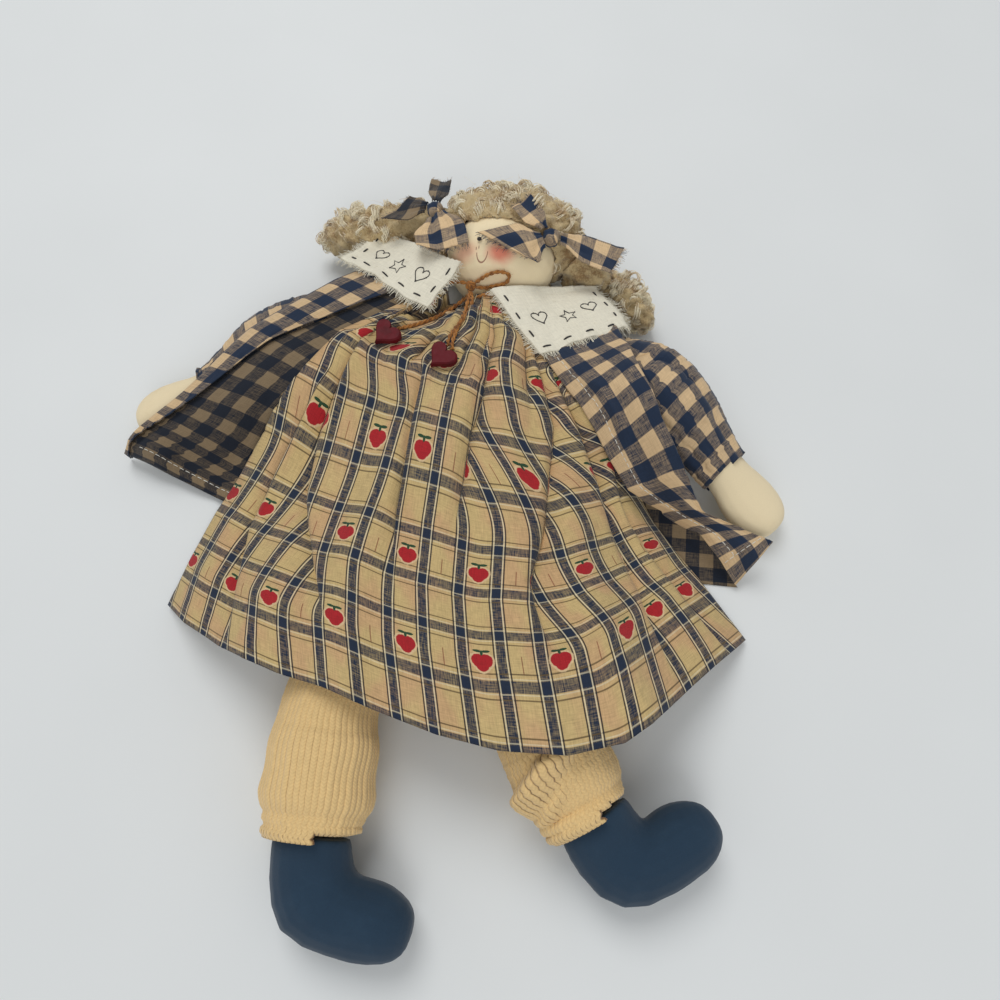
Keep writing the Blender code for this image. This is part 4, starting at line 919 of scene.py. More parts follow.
BACK_ROWS, BACK_COLUMNS = 60, 90
BACK_INSET = 4 * MM
plan, share, across = skirt_plan(BACK_ROWS, BACK_COLUMNS, BACK_INSET)
back_cloth = np.dstack((plan, smoothed(Surface("dress_back").tops(plan), 2)))
run = run_lengths(back_cloth, 1)
cut = np.dstack((run - run[:, [BACK_COLUMNS // 2]], (1 - share) * SKIRT + 0 * run))
skirt = sheet("dress_back_cloth", back_cloth, cut, DRESS_CLOTH, dress_cotton)
bind(skirt, "torso", "plaid", "dress_back")


# The jacket: navy and tan checked cotton, unlined. A back flat on the table, a left front
# beside the dress with a white topstitch down its edge, and a right front thrown open over
# the arm, its wrong side up and its front edge turned back as a facing.
SQUARE = 7.8 * MM
CHECK_NAVY = colour(23, 41, 66)
CHECK_TAN = colour(216, 186, 144)
CHECK_STRAY = 0.18 * MM
CHECK_FOLD = 0.5 * MM
WHITE_THREAD = colour(226, 224, 214)
WHITE_FUZZ = 2500
JACKET_CLOTH = 0.55 * MM
JACKET_NECK_Y = 82 * MM
JACKET = 132 * MM
BACK_LENGTH = 150 * MM
BACK_TOP = 52 * MM
BACK_HEM = (112 * MM, 150 * MM)
LEFT_INNER = (
    (0.19, 0.08), (0.25, 0.2), (0.394, 0.386), (0.53, 0.583), (0.629, 0.682), (0.78, 0.727), (0.939, 0.803),
    (1.121, 0.985),
)
LEFT_OUTER = (
    (0.5, -0.07), (0.545, 0.09), (0.598, 0.227), (0.712, 0.447), (0.841, 0.614), (0.939, 0.735),
    (1.114, 0.788), (1.235, 0.818),
)
RIGHT_INNER = ((-0.28, -0.1), (-0.55, 0.16), (-0.765, 0.409), (-0.955, 0.682), (-1.068, 0.848))
RIGHT_FOLD = (
    (-0.636, -0.235), (-0.856, -0.045), (-1.076, 0.129), (-1.303, 0.409), (-1.439, 0.561), (-1.553, 0.682),
)
FACING = 32 * MM
FACING_RISE = 3 * MM
FACING_STEPS = 16
RIGHT_LIFT = 0.8 * MM
BACK_PANEL_ROWS, BACK_PANEL_COLUMNS = 40, 60
PANEL_ROWS, PANEL_COLUMNS = 110, 60
PANEL_HEM = 9 * MM
HEM_PLY = 0.7 * MM
LEFT_WAVES, RIGHT_WAVES = 1.6 * MM, 1.2 * MM
LEFT_SHIFT = 4 * MM
STITCH = 2.6 * MM
STITCH_GAP = 1.1 * MM
STITCH_THREAD = 0.22 * MM
STITCH_DIP = 0.3 * MM
TOPSTITCH_IN = 6 * MM
TOPSTITCH_DENT, TOPSTITCH_DENT_WIDTH = 0.25 * MM, 0.9 * MM


def gingham(name, level, inside=1, covered=0.78):
    """Squares of navy, tan, and the two woven together. The level paints the whole check lighter or darker
    as painted light or shade; the wrong side, turned from the light, is painted darker past the fold by
    inside, as painted shade.
    """
    cotton = Finish(name, Roughness=0.92, Sheen_Weight=0.12)
    cut = cotton.cut()
    u, v, _ = cut.parts()
    warp, weft = slubs(cut)
    dark_warp = u.stripe(2 * SQUARE, 0, SQUARE, CHECK_STRAY)
    dark_weft = v.stripe(2 * SQUARE, 0, SQUARE, CHECK_STRAY)
    crossing = dark_warp * dark_weft
    mixed = (covered + 0.9 * (warp - weft)).maths("MINIMUM", 1)
    tint = cotton.mix(crossing + (dark_warp + dark_weft - 2 * crossing) * mixed, CHECK_TAN, CHECK_NAVY)
    side = inside + (1 - inside) * u.fade(CHECK_FOLD, -CHECK_FOLD)
    # Painted light and shade: the level, and the wrong side's level past the fold, scale the colour.
    cotton.feed("Base Color", cotton.darken(tint, level * side * (0.56 + 0.44 * (warp + weft))))
    cotton.bump(warp + weft, YARN_BUMP, 0.7)
    return cotton


def panel(inner, outer):
    """The plan of a front between the outlines of its two edges, with its shares down and across."""
    share = np.linspace(0, 1, PANEL_ROWS)
    across = np.linspace(0, 1, PANEL_COLUMNS)[None, :, None]
    near = outline(inner, share, NECK, JACKET)[:, None]
    far = outline(outer, share, NECK, JACKET)[:, None]
    return smoothed(near + (far - near) * across, 6), share[:, None], across[..., 0]


def path_lengths(path):
    """How far along a path each of its points is."""
    return np.concatenate(([0], np.cumsum(np.linalg.norm(np.diff(path, axis=0), axis=1))))


def path_places(path, run, at):
    """The place on a path at a length along it, or the places at several."""
    return np.stack([np.interp(at, run, path[:, axis]) for axis in range(3)], -1)


def turned_hem(share):
    """The second ply of a front's hem, a step up where it is folded."""
    return HEM_PLY * ease((share - 1 + PANEL_HEM / JACKET) * 300)


def stitches(path, spacing, length, radius, dip, threads):
    """Running stitches along a path on cloth: each rises from the cloth and goes back in."""
    path = np.array(path)
    run = path_lengths(path)
    at = spacing / 2
    while at + length < run[-1]:
        points = []
        for share in (0, 0.2, 0.5, 0.8, 1):
            spot = path_places(path, run, at + share * length)
            spot[2] += radius * 0.6 - dip * (2 * share - 1) ** 4
            points.append(spot)
        threads.add(points, radius)
        at += spacing + length


white_thread = Finish("white_thread", Roughness=0.8, Sheen_Weight=0.3)
fuzz = white_thread.place().specks(WHITE_FUZZ)
white_thread.feed("Base Color", white_thread.darken(WHITE_THREAD, 0.8 + 0.35 * fuzz))
white_thread.bump(fuzz, FUZZ_BUMP)

# Painted light and shade: the open front's wrong side, the back on the table and the bows' turned-over
# leaves get the check painted darker as shade; the bows' other leaves and knots get it painted lighter as
# light.
check = gingham("check", 1)
check_open = gingham("check_open", 0.95, 0.34)
check_inside = gingham("check_inside", 0.38)
check_bow = gingham("check_bow", 1.1, 1, 0.6)
share = np.linspace(0, 1, BACK_PANEL_ROWS)[:, None]
across = np.linspace(0, 1, BACK_PANEL_COLUMNS)[None]
right_edge = BACK_TOP + (BACK_HEM[0] - BACK_TOP) * share
left_edge = BACK_TOP + (BACK_HEM[1] - BACK_TOP) * share
aside = (right_edge + left_edge) * across - right_edge
plan = np.dstack((aside, JACKET_NECK_Y - BACK_LENGTH * share + 0 * across))
panel_back = np.dstack((plan, Surface("jacket_back").tops(plan)))
made = sheet("jacket_back_cloth", panel_back, plan, JACKET_CLOTH, check_inside)
bind(made, "torso", "check", "jacket_back")

# The left front hangs straight, its hem turned under.
plan, share, across = panel(LEFT_INNER, LEFT_OUTER)
run = run_lengths(plan, 1)
cut = np.dstack((run + LEFT_SHIFT, run_lengths(plan, 0)[:, [0]] + 0 * run))
waves = LEFT_WAVES * crest(0.9 * across + 0.25 * share, 2, 1.2) * ease(share / 0.2)
dent = np.exp(-(((run - TOPSTITCH_IN) / TOPSTITCH_DENT_WIDTH) ** 2))
relief = waves + turned_hem(share) + TOPSTITCH_DENT * (1 - dent)
surface = smoothed(Surface("jacket_front_left").tops(plan), 2)
left_front = np.dstack((plan, laid(surface, relief, under(plan, "collar_left"))))
made = sheet("jacket_left_cloth", left_front, cut, JACKET_CLOTH, check)
bind(made, "torso", "check", "jacket_front_left")
edge = [row[np.argmin(np.abs(reach - TOPSTITCH_IN))] for row, reach in zip(left_front, run)]
topstitch = Threads(5)
stitches(edge[8:-6], STITCH_GAP, STITCH, STITCH_THREAD, STITCH_DIP, topstitch)
hem_row = left_front[-int(PANEL_ROWS * PANEL_HEM / JACKET)]
stitches(hem_row[2:-2], STITCH_GAP, STITCH, STITCH_THREAD, STITCH_DIP, topstitch)
topstitch.made("jacket_left_topstitch", white_thread, "torso", "check")

# The right front: its plan runs on past the fold as the facing, laid back over itself.
plan, share, across = panel(RIGHT_INNER, RIGHT_FOLD)
surface = smoothed(Surface("jacket_front_right").tops(plan), 1)
width = np.linalg.norm(plan[:, -1] - plan[:, 0], axis=1)[:, None]
facing = FACING * (1 - share) ** 1.2 + FACING * share / 8
from_fold = width * (1 - across)
ply = FACING_RISE * 1.1 * (1 - ease((from_fold - 0.8 * facing) / (0.25 * facing)))
base = lifted(plan, surface - ply, RIGHT_LIFT, "torso")
waves = RIGHT_WAVES * crest(across * 1.3 + 0.3 * share, 2, 1.3)
waves = waves * ease(share / 0.2) * ease(from_fold / facing - 1)
lower = np.dstack((plan, np.maximum(base + waves + turned_hem(share), JACKET_CLOTH)))
turned = []
for k in range(1, FACING_STEPS + 1):
    back = facing * k / FACING_STEPS
    at = (1 - back / width) * (PANEL_COLUMNS - 1)
    low = np.clip(at.astype(int), 0, PANEL_COLUMNS - 2)
    mix = at - low
    rows = np.arange(PANEL_ROWS)[:, None]
    under_it = lower[rows, low] * (1 - mix[..., None]) + lower[rows, low + 1] * mix[..., None]
    roll = math.sin(math.pi / 2 * min(1, 3 * k / FACING_STEPS))
    flat = 1 - 0.25 * k / FACING_STEPS
    over = under_it[:, 0].copy()
    over[:, 2] += FACING_RISE * roll * flat + JACKET_CLOTH
    turned.append(over)
right_front = np.concatenate((lower, np.stack(turned, 1)), axis=1)
run = run_lengths(right_front, 1)
down = np.linspace(0, 1, PANEL_ROWS)[:, None] * np.linalg.norm(plan[-1, -1] - plan[0, -1])
cut = np.dstack((run[:, [PANEL_COLUMNS - 1]] - run, down + 0 * run))
ceiling = under(right_front[..., :2], "collar_right", "dress_front", "heart_right", "twine_tail_right")
right_front[..., 2] = np.minimum(right_front[..., 2], np.maximum(ceiling, JACKET_CLOTH))
made = sheet("jacket_right_cloth", right_front, cut, JACKET_CLOTH, check_open)
bind(made, "torso", "check", "jacket_front_right")
hem_stitch = Threads(5)
hem_row = lower[-int(PANEL_ROWS * PANEL_HEM / JACKET)]
stitches(hem_row[2:-8], STITCH_GAP, STITCH, STITCH_THREAD, STITCH_DIP, hem_stitch)
hem_stitch.made("jacket_right_stitch", white_thread, "torso", "check")


# The sleeves: tubes of the same check, gathered at the shoulder and into a narrow cuff, puffed
# between. They turn with the arms.
SLEEVE_ROWS, SLEEVE_COLUMNS = 90, 150
SLEEVE_CLOTH = 0.5 * MM
SLEEVE_FOLDS = 4
SLEEVE_FOLD_DEPTH = 3.2 * MM
CUFF_GATHERS = 11
CUFF_GATHER_DEPTH = 1.3 * MM
CUFF = 9 * MM
SLEEVE_BULGE = 4.5 * MM
TUBE_END = 0.3 * MM
TABLE_GAP = 0.3 * MM


class Round:
    """A tube or a leg measured round its own middle line, from its body end to its far end."""

    def __init__(self, node, joint, rows, columns, past=-TUBE_END):
        points = np.array([tuple(corner.co) for corner in nodes[node].data.vertices])
        centre = points.mean(0)
        axis = np.linalg.svd(points - centre, full_matrices=False)[2][0] * (1, 1, 0)
        axis /= np.linalg.norm(axis)
        if np.dot(centre - np.array(joint), axis) < 0:
            axis = -axis
        along = (points - centre) @ axis
        self.stations = np.linspace(along.min() + TUBE_END, along.max() + past, rows)
        reach = (self.stations[-1] - self.stations[0]) / 12
        middles = []
        for station in self.stations:
            near = points[np.abs(along - station) < reach]
            middle = (near.max(0) + near.min(0)) / 2
            middles.append(middle + axis * (station - (middle - centre) @ axis))
        self.middles = smoothed(np.repeat(np.array(middles)[:, None], 3, 1), 8)[:, 1]
        side = np.cross(axis, (0, 0, 1))
        side /= np.linalg.norm(side)
        up = np.cross(side, axis)
        self.turns = np.linspace(-math.pi / 2, 1.5 * math.pi, columns)
        self.ways = np.cos(self.turns)[:, None] * side + np.sin(self.turns)[:, None] * up
        self.axis = axis
        surface = Surface(node)
        radii = np.full((rows, columns), np.nan)
        for i, j in np.ndindex(rows, columns):
            far = self.middles[i] + self.ways[j] * SKY_HEIGHT / 2
            found = surface.hit(far, -self.ways[j])
            if found:
                radii[i, j] = (np.array(found) - self.middles[i]) @ self.ways[j]
        self.radii = smoothed(filled(radii), 2)
        self.radii[:, -1] = self.radii[:, 0]

    def places(self, radii):
        """The tube's places at these radii, clear of the table."""
        radii = radii.copy()
        radii[:, -1] = radii[:, 0]
        places = self.middles[:, None] + self.ways[None] * radii[..., None]
        places[..., 2] = np.maximum(places[..., 2], TABLE_GAP)
        return places

    def cut(self, radii):
        """The flat cut: round the tube at its middling girth, and along it."""
        around = (self.turns + math.pi / 2)[None] * np.median(radii)
        down = (self.stations[-1] - self.stations)[:, None]
        return np.dstack((around + 0 * radii, down + 0 * radii))


joint_places = {joint["child"]: joint["pos_m"] for joint in frame["joints"]}
for side, phase in (("right", 0.4), ("left", 1.9)):
    arm = "arm_" + side
    tube = Round("sleeve_" + side, joint_places[arm], SLEEVE_ROWS, SLEEVE_COLUMNS)
    share = np.linspace(0, 1, SLEEVE_ROWS)[:, None]
    turn = tube.turns[None]
    length = tube.stations[-1] - tube.stations[0]
    puffed = ease(share / 0.2) * ease((1 - share) / 0.2)
    around = turn / (2 * math.pi)
    wander = 0.12 * np.sin(4 * share + phase) + 0.03 * np.sin(3 * turn)
    folds = crest(around + wander, SLEEVE_FOLDS, 0.5)
    at_cuff = np.exp(-(((share * length - length + CUFF) / CUFF) ** 2))
    at_shoulder = 1 - ease(share / 0.15)
    drawn_up = crest(around, CUFF_GATHERS, 0.8) * (at_cuff + at_shoulder)
    relief = -SLEEVE_FOLD_DEPTH * (1 - folds) * puffed
    relief = relief - CUFF_GATHER_DEPTH * (1 - drawn_up) * (drawn_up > 0.02)
    relief = smoothed(np.where(puffed > 0, relief, np.minimum(relief, 0)), 2)
    radii = tube.radii + relief
    if side == "right":
        radii = radii + SLEEVE_BULGE * puffed * np.clip(tube.ways[None, :, 1], 0, 1) ** 2
    cut = tube.cut(radii)
    made = sheet("sleeve_" + side + "_cloth", tube.places(radii), cut, SLEEVE_CLOTH, check, wrapped=True)
    bind(made, arm, "check", "sleeve_" + side)
    arm + "_muslin"


# The collar: two oblongs of coarse off-white cotton, folded along the top and frayed on the
# other sides, edged with black running stitches and worked with small hearts and a star.
OSNABURG = colour(238, 232, 212)
OSNABURG_FLECK = colour(196, 182, 148)
COLLAR = 62 * MM
COLLAR_NECK = (0, 71 * MM)
COLLAR_CLOTH = 0.8 * MM
COARSE_THREAD = 0.8 * MM
COARSE_SLUB = 7 * MM
COARSE_BUMP = 0.45 * MM
FLECKS = (260, 260, 1)
FRAY_FUZZ = 700
COLLAR_ROWS, COLLAR_COLUMNS = 50, 80
COLLAR_CORNERS = {
    "right": ((-0.34, 0.305), (-1.24, 0.94), (-0.626, -0.09), (-1.52, 0.44)),
    "left": ((-0.055, 0.1), (0.92, 0.44), (0.455, -0.505), (1.226, -0.16)),
}
FRAY_LENGTH = (2.6 * MM, 4.6 * MM)
FRAY_STEP = 0.55 * MM
FRAY_THREAD = 0.22 * MM
FRAY_ROOT, FRAY_SINK = 0.4 * MM, 0.2 * MM
BORDER_IN = 4.2 * MM
BLACK_STITCH = 5 * MM
BLACK_STITCH_GAP = 8 * MM
BLACK_STITCH_DIP = 0.9 * MM
BLACK_THREAD_RADIUS = 0.5 * MM
FINE_THREAD_RADIUS = 0.3 * MM
MOTIF = 5 * MM

osnaburg = Finish("osnaburg", Roughness=0.95, Sheen_Weight=0.1)
cut_place = osnaburg.cut()
warp, weft = slubs(cut_place, COARSE_THREAD, COARSE_SLUB, (5, 2, 0))
fleck = cut_place.stretched(FLECKS).speck(3, 0.7).fade(0.6, 0.78)
tint = osnaburg.mix(fleck * 0.45, OSNABURG, OSNABURG_FLECK)
osnaburg.feed("Base Color", osnaburg.darken(tint, 0.76 + 0.24 * (warp + weft)))
osnaburg.bump(warp + weft, COARSE_BUMP, 0.9)

frayed = Finish("frayed_yarn", Roughness=0.95, Sheen_Weight=0.2)
fuzz = frayed.place().specks(FRAY_FUZZ)
frayed.feed("Base Color", frayed.darken(OSNABURG, 0.82 + 0.25 * fuzz))


def on_cloth(places, across, down):
    """The place on a sheet at a share across it and a share down it."""
    rows, columns = places.shape[:2]
    i, j = np.clip(down, 0, 1) * (rows - 1), np.clip(across, 0, 1) * (columns - 1)
    low_i, low_j = min(int(i), rows - 2), min(int(j), columns - 2)
    top = places[low_i, low_j] * (1 - j + low_j) + places[low_i, low_j + 1] * (j - low_j)
    bottom = places[low_i + 1, low_j] * (1 - j + low_j) + places[low_i + 1, low_j + 1] * (j - low_j)
    return top * (1 - i + low_i) + bottom * (i - low_i)


def fray(edge, inner, chance, threads, lengths=FRAY_LENGTH, step=FRAY_STEP, radius=FRAY_THREAD):
    """Loose yarn ends along a torn edge, pointing out from a row inside it."""
    run = path_lengths(edge)
    at = step / 2
    while at < run[-1]:
        spot = path_places(edge, run, at)
        out = Vector(spot - path_places(inner, run, at)).normalized()
        bend = Vector((chance.uniform(-0.5, 0.5), chance.uniform(-0.5, 0.5), chance.uniform(-0.35, 0.1)))
        start = Vector(spot) - out * FRAY_ROOT - UP * (FRAY_SINK + chance.uniform(0, 0.4) * MM)
        reach = chance.uniform(*lengths)
        path = [start + (out * share + bend * share * share) * reach for share in (0, 0.35, 0.7, 1)]
        threads.add([Vector((p.x, p.y, max(p.z, 2 * radius))) for p in path], radius, 0.4)
        at += step * chance.uniform(0.7, 1.3)


def heart_path(size):
    """The outline of a small heart."""
    path = []
    for k in range(29):
        turn = 2 * math.pi * k / 28
        x = 16 * math.sin(turn) ** 3
        y = 13 * math.cos(turn) - 5 * math.cos(2 * turn) - 2 * math.cos(3 * turn) - math.cos(4 * turn)
        path.append((x / 17 * size, y / 17 * size))
    return path


def star_path(size):
    """The outline of a star with five points."""
    path = []
    for k in range(11):
        turn = math.pi / 2 + math.pi * k / 5
        out = size if k % 2 == 0 else 0.45 * size
        path.append((out * math.cos(turn), out * math.sin(turn)))
    return path


MOTIFS = ((0.26, 0.5, heart_path), (0.52, 0.56, star_path), (0.76, 0.48, heart_path))
PROUD = np.array((0, 0, 0.3 * FINE_THREAD_RADIUS))
HALF_DOT = np.array((FINE_THREAD_RADIUS, 0, 0))
for side, seed in (("right", 21), ("left", 22)):
    name = "collar_" + side
    corners = np.array(COLLAR_NECK) + COLLAR * np.array(COLLAR_CORNERS[side])
    down = np.linspace(0, 1, COLLAR_ROWS)[:, None, None]
    across = np.linspace(0, 1, COLLAR_COLUMNS)[None, :, None]
    plan = (corners[0] * (1 - across) + corners[1] * across) * (1 - down)
    plan = plan + (corners[2] * (1 - across) + corners[3] * across) * down
    down, across = down[..., 0], across[..., 0]
    plan[..., 1] += 0.8 * MM * np.sin(11 * across + seed) * down + 0.5 * MM * np.sin(23 * across) * down
    plan[..., 0] += 0.7 * MM * np.sin(9 * down + seed) * (2 * across - 1)
    surface = smoothed(Surface(name).tops(plan), 3)
    roll = 0.8 * MM * np.exp(-((down / 0.07) ** 2))
    buckle = 1.5 * MM * np.sin(5 * across + 2 * down + seed) ** 2
    buckle = buckle + 0.5 * MM * np.sin(31 * across + seed) * down
    ceiling = under(plan, "twine_knot", "twine_loop", "twine_tail_left", "bow_left_outer", "bow_right_lower")
    collar = np.dstack((plan, laid(surface, roll + buckle, ceiling)))
    wide, deep = np.linalg.norm(corners[1] - corners[0]), np.linalg.norm(corners[2] - corners[0])
    cut = np.dstack((across * wide + 0 * down, down * deep + 0 * across))
    made = bind(sheet(name + "_cloth", collar, cut, COLLAR_CLOTH, osnaburg), "torso", "osnaburg", name)
    "jacket_front_" + side
    chance = random.Random(seed)
    yarn = Threads(4)
    fray(collar[:, 0], collar[:, 3], chance, yarn)
    fray(collar[:, -1], collar[:, -4], chance, yarn)
    fray(collar[-1], collar[-4], chance, yarn)
    yarn.made(name + "_fray", frayed, "torso", "osnaburg")
    black = Threads(6)
    in_x, in_y = BORDER_IN / wide, BORDER_IN / deep
    border = [on_cloth(collar, in_x, t) for t in np.linspace(0.04, 1 - in_y, 24)]
    border += [on_cloth(collar, t, 1 - in_y) for t in np.linspace(in_x, 1 - in_x, 40)]
    border += [on_cloth(collar, 1 - in_x, t) for t in np.linspace(1 - in_y, 0.04, 24)]
    stitches(border, BLACK_STITCH_GAP, BLACK_STITCH, BLACK_THREAD_RADIUS, BLACK_STITCH_DIP, black)
    for at_x, at_y, shape in MOTIFS:
        flip = -1 if side == "right" else 1
        path = [on_cloth(collar, at_x + flip * x / wide, at_y - y / deep) + PROUD for x, y in shape(MOTIF)]
        black.add(path, FINE_THREAD_RADIUS)
        for dot in path[:-1:4]:
            black.add([dot - HALF_DOT, dot, dot + HALF_DOT], 1.5 * FINE_THREAD_RADIUS)
    black.made(name + "_stitches", black_thread, "torso", "black_thread")


# The twine: doubled two-ply jute tied round the neck in a small bow, its two ends hanging
# down with a wooden heart on each.
JUTE = colour(190, 128, 58)
JUTE_DARK = colour(120, 72, 30)
JUTE_HAIRS, JUTE_SHADES = 1400, 300
JUTE_BUMP = 0.3 * MM
TWINE_RADIUS = 1.1 * MM
TWINE_STEP = 0.5 * MM
JUTE_FIBRE = 0.07 * MM
JUTE_FIBRE_BEND, JUTE_FIBRE_END = 1.3 * MM, 2.2 * MM
TWINE_LAY = 6.5 * MM
NECK_RING = (0, 76.5 * MM, 31 * MM)
NECK_RING_RADIUS = 14.4 * MM
NECK_RING_STEPS = 48
KNOT_PLACE = (-15 * MM, 81.5 * MM)
KNOT_RADIUS = 3.2 * MM
KNOT_TURN_STEPS = 18
LOOP_STEPS = 32
LOOP_HEADING = 8
LOOP_LENGTH = 22 * MM
LOOP_HALF_WIDTH = 3.2 * MM
RIGHT_TAIL = ((-16.5, 80), (-22.5, 73), (-29, 67), (-37, 61.5), (-46, 56.5), (-54, 53))
TAIL_APART = 2.6 * MM
STUB = ((-16, 82.5), (-21, 83.5), (-26, 83), (-31, 81))
LEFT_TAIL = ((-15.3, 79), (-15.5, 71), (-16.5, 62), (-19, 51), (-20.5, 43), (-20, 38))

jute = Finish("jute", Roughness=0.9, Sheen_Weight=0.2)
place = jute.place()
hairs = place.specks(JUTE_HAIRS, 3, 0.7)
shade = (0.5 * hairs + 0.5 * place.specks(JUTE_SHADES)).fade(0.35, 0.62)
jute.feed("Base Color", jute.mix(shade, JUTE_DARK, JUTE))
jute.bump(hairs, JUTE_BUMP)


def twisted(path, threads, strays, chance):
    """Two plies laid round each other along a path, with stray fibres."""
    path = np.array(path, float)
    run = path_lengths(path)
    at = np.linspace(0, run[-1], max(4, int(run[-1] / TWINE_STEP)))
    points = path_places(path, run, at)
    ways = np.gradient(points, axis=0)
    for ply in (0, math.pi):
        strand = []
        for point, way, along in zip(points, ways, at):
            way = Vector(way).normalized()
            side = way.cross(UP).normalized() if abs(way.z) < 0.95 else way.orthogonal().normalized()
            turn = ply + 2 * math.pi * along / TWINE_LAY
            out = side * math.cos(turn) + side.cross(way) * math.sin(turn)
            strand.append(Vector(point) + out * TWINE_RADIUS * 0.5)
        threads.add(strand, TWINE_RADIUS * 0.58)
        for point in strand[::5]:
            bend = Vector([chance.uniform(-1, 1) for _ in range(3)]).normalized()
            bend.z = abs(bend.z)
            tip = point + bend * JUTE_FIBRE_END + UP * chance.uniform(-0.4, 0.4) * MM
            strays.add([point, point + bend * JUTE_FIBRE_BEND, tip], JUTE_FIBRE, 0.4)


def twine_piece(name, node, paths, seed):
    """One piece of twine along its paths, and its stray fibres."""
    twine, strays = Threads(7), Threads(3)
    chance = random.Random(seed)
    for path in paths:
        twisted(path, twine, strays, chance)
    twine.made(name, jute, "torso", "jute", node)
    strays.made(name + "_fibres", jute, "torso", "jute")


ring = []
for k in range(NECK_RING_STEPS + 1):
    turn = 2 * math.pi * k / NECK_RING_STEPS
    across, up = NECK_RING_RADIUS * math.cos(turn), NECK_RING_RADIUS * math.sin(turn)
    ring.append((NECK_RING[0] + across, NECK_RING[1], NECK_RING[2] + up))
twine_piece("neck_twine_plies", "neck_twine", [ring], 31)


def hung(node, plan):
    """A path whose middle line is a twine radius under the top of the solid that stands for it."""
    grid = np.array(plan, float)[None]
    return [(x, y, z) for (x, y), z in zip(plan, Surface(node).tops(grid)[0] - TWINE_RADIUS)]


def curved(route, count):
    """Points read from a smooth curve through a route's own points, given in millimetres."""
    ends = [route[0], *route, route[-1]]
    points = []
    for k in range(count):
        along = k / (count - 1) * (len(route) - 1)
        i = min(int(along), len(route) - 2)
        t = along - i
        a, b, c, d = (np.array(p) * MM for p in ends[i:i + 4])
        bend = (c - a) * t + (2 * a - 5 * b + 4 * c - d) * t**2 + (3 * b - a - 3 * c + d) * t**3
        points.append(b + bend / 2)
    return points


twine_piece("twine_end_right", "twine_tail_right", [hung("twine_tail_right", curved(RIGHT_TAIL, 30))], 32)
left_end = hung("twine_tail_left", curved(LEFT_TAIL, 30))
second = [(x + TAIL_APART * math.sin(0.21 * k), y, z) for k, (x, y, z) in enumerate(left_end[:-3])]
twine_piece("twine_end_left", "twine_tail_left", [left_end, second], 33)

out = Vector((math.cos(math.radians(LOOP_HEADING)), math.sin(math.radians(LOOP_HEADING))))
aside = Vector((-out.y, out.x))
loop = []
for k in range(LOOP_STEPS + 1):
    turn = math.pi * (k / LOOP_STEPS - 0.5)
    opened = math.cos(turn) ** 0.7
    reach = KNOT_RADIUS + (LOOP_LENGTH - KNOT_RADIUS) * opened
    wide = (TWINE_RADIUS + (LOOP_HALF_WIDTH - TWINE_RADIUS) * opened) * math.sin(turn)
    loop.append(Vector(KNOT_PLACE) + out * reach + aside * wide)
twine_piece("twine_bow_loop", "twine_loop", [hung("twine_loop", [tuple(p) for p in loop])], 34)
low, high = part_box("twine_knot")
middle = (low + high) / 2
turns = []
for tilt in (0.3, 1.5, 2.5):
    tilted = Matrix.Rotation(tilt, 3, "Z") @ Matrix.Rotation(1.2, 3, "X")
    around = []
    for k in range(KNOT_TURN_STEPS + 1):
        turn = 2 * math.pi * k / KNOT_TURN_STEPS
        spoke = Vector((math.cos(turn), math.sin(turn), 0.12 * tilt))
        around.append(middle + tilted @ spoke * (KNOT_RADIUS - TWINE_RADIUS))
    turns.append(around)
turns.append([(x, y, middle.z) for x, y, _ in curved([(*spot, 0) for spot in STUB], 16)])
twine_piece("twine_bow_knot", "twine_knot", turns, 35)


# The hearts: cut from 5 mm wood and painted dark red, the paint worn a little along the edges.
HEART_RED = colour(100, 18, 28)
HEART_WORN = colour(72, 16, 20)
WOOD_GRAIN = (350, 350, 2200)
WOOD_BUMP = 0.12 * MM
WORN_PATCHES = 180
red_wood = Finish("red_wood", Roughness=0.6, Specular_IOR_Level=0.25)
place = red_wood.place()
grain = place.stretched(WOOD_GRAIN).speck(3, 0.6)
patch = place.specks(WORN_PATCHES, 3)
red_wood.feed("Base Color", red_wood.mix(patch.fade(0.45, 0.7) * 0.6, HEART_RED, HEART_WORN))
red_wood.feed("Roughness", 0.5 + 0.3 * grain)
red_wood.bump(grain, WOOD_BUMP, 0.7)
for side in ("right", "left"):
    give(nodes["heart_" + side], red_wood)


# The stockings: tubes of cream rib knit, pulled over the ankles and slouched, one creased by a
# deep fold across its front.
KNIT = colour(234, 200, 140)
# The brown painted into the rib grooves as shade.
KNIT_GROOVE_SHADE = colour(126, 84, 40)
RIB = 2.8 * MM
RIB_DEPTH = 0.95 * MM
KNIT_STITCH = 1.5 * MM
KNIT_THICKNESS = 1.1 * MM
KNIT_BUMP = 0.35 * MM
HEATHER = (900, 300, 1)
KNIT_ROWS, KNIT_COLUMNS = 90, 420
MOUTH_REACH = 3.5 * MM
HEM_SHARE = 0.42
SLACK = 8 * MM
ROLL_RISE, TUCK_RISE, DRAWN_IN = 5.5 * MM, 4 * MM, 3 * MM
SLOUCH_RISE, KNIT_RIPPLE = 2.2 * MM, 0.5 * MM
MOUTH_RADII = {"right": 22 * MM, "left": 20.5 * MM}

knit = Finish("rib_knit", Roughness=0.95, Sheen_Weight=0.3, Sheen_Roughness=0.5)
cut_place = knit.cut()
u, v, _ = cut_place.parts()
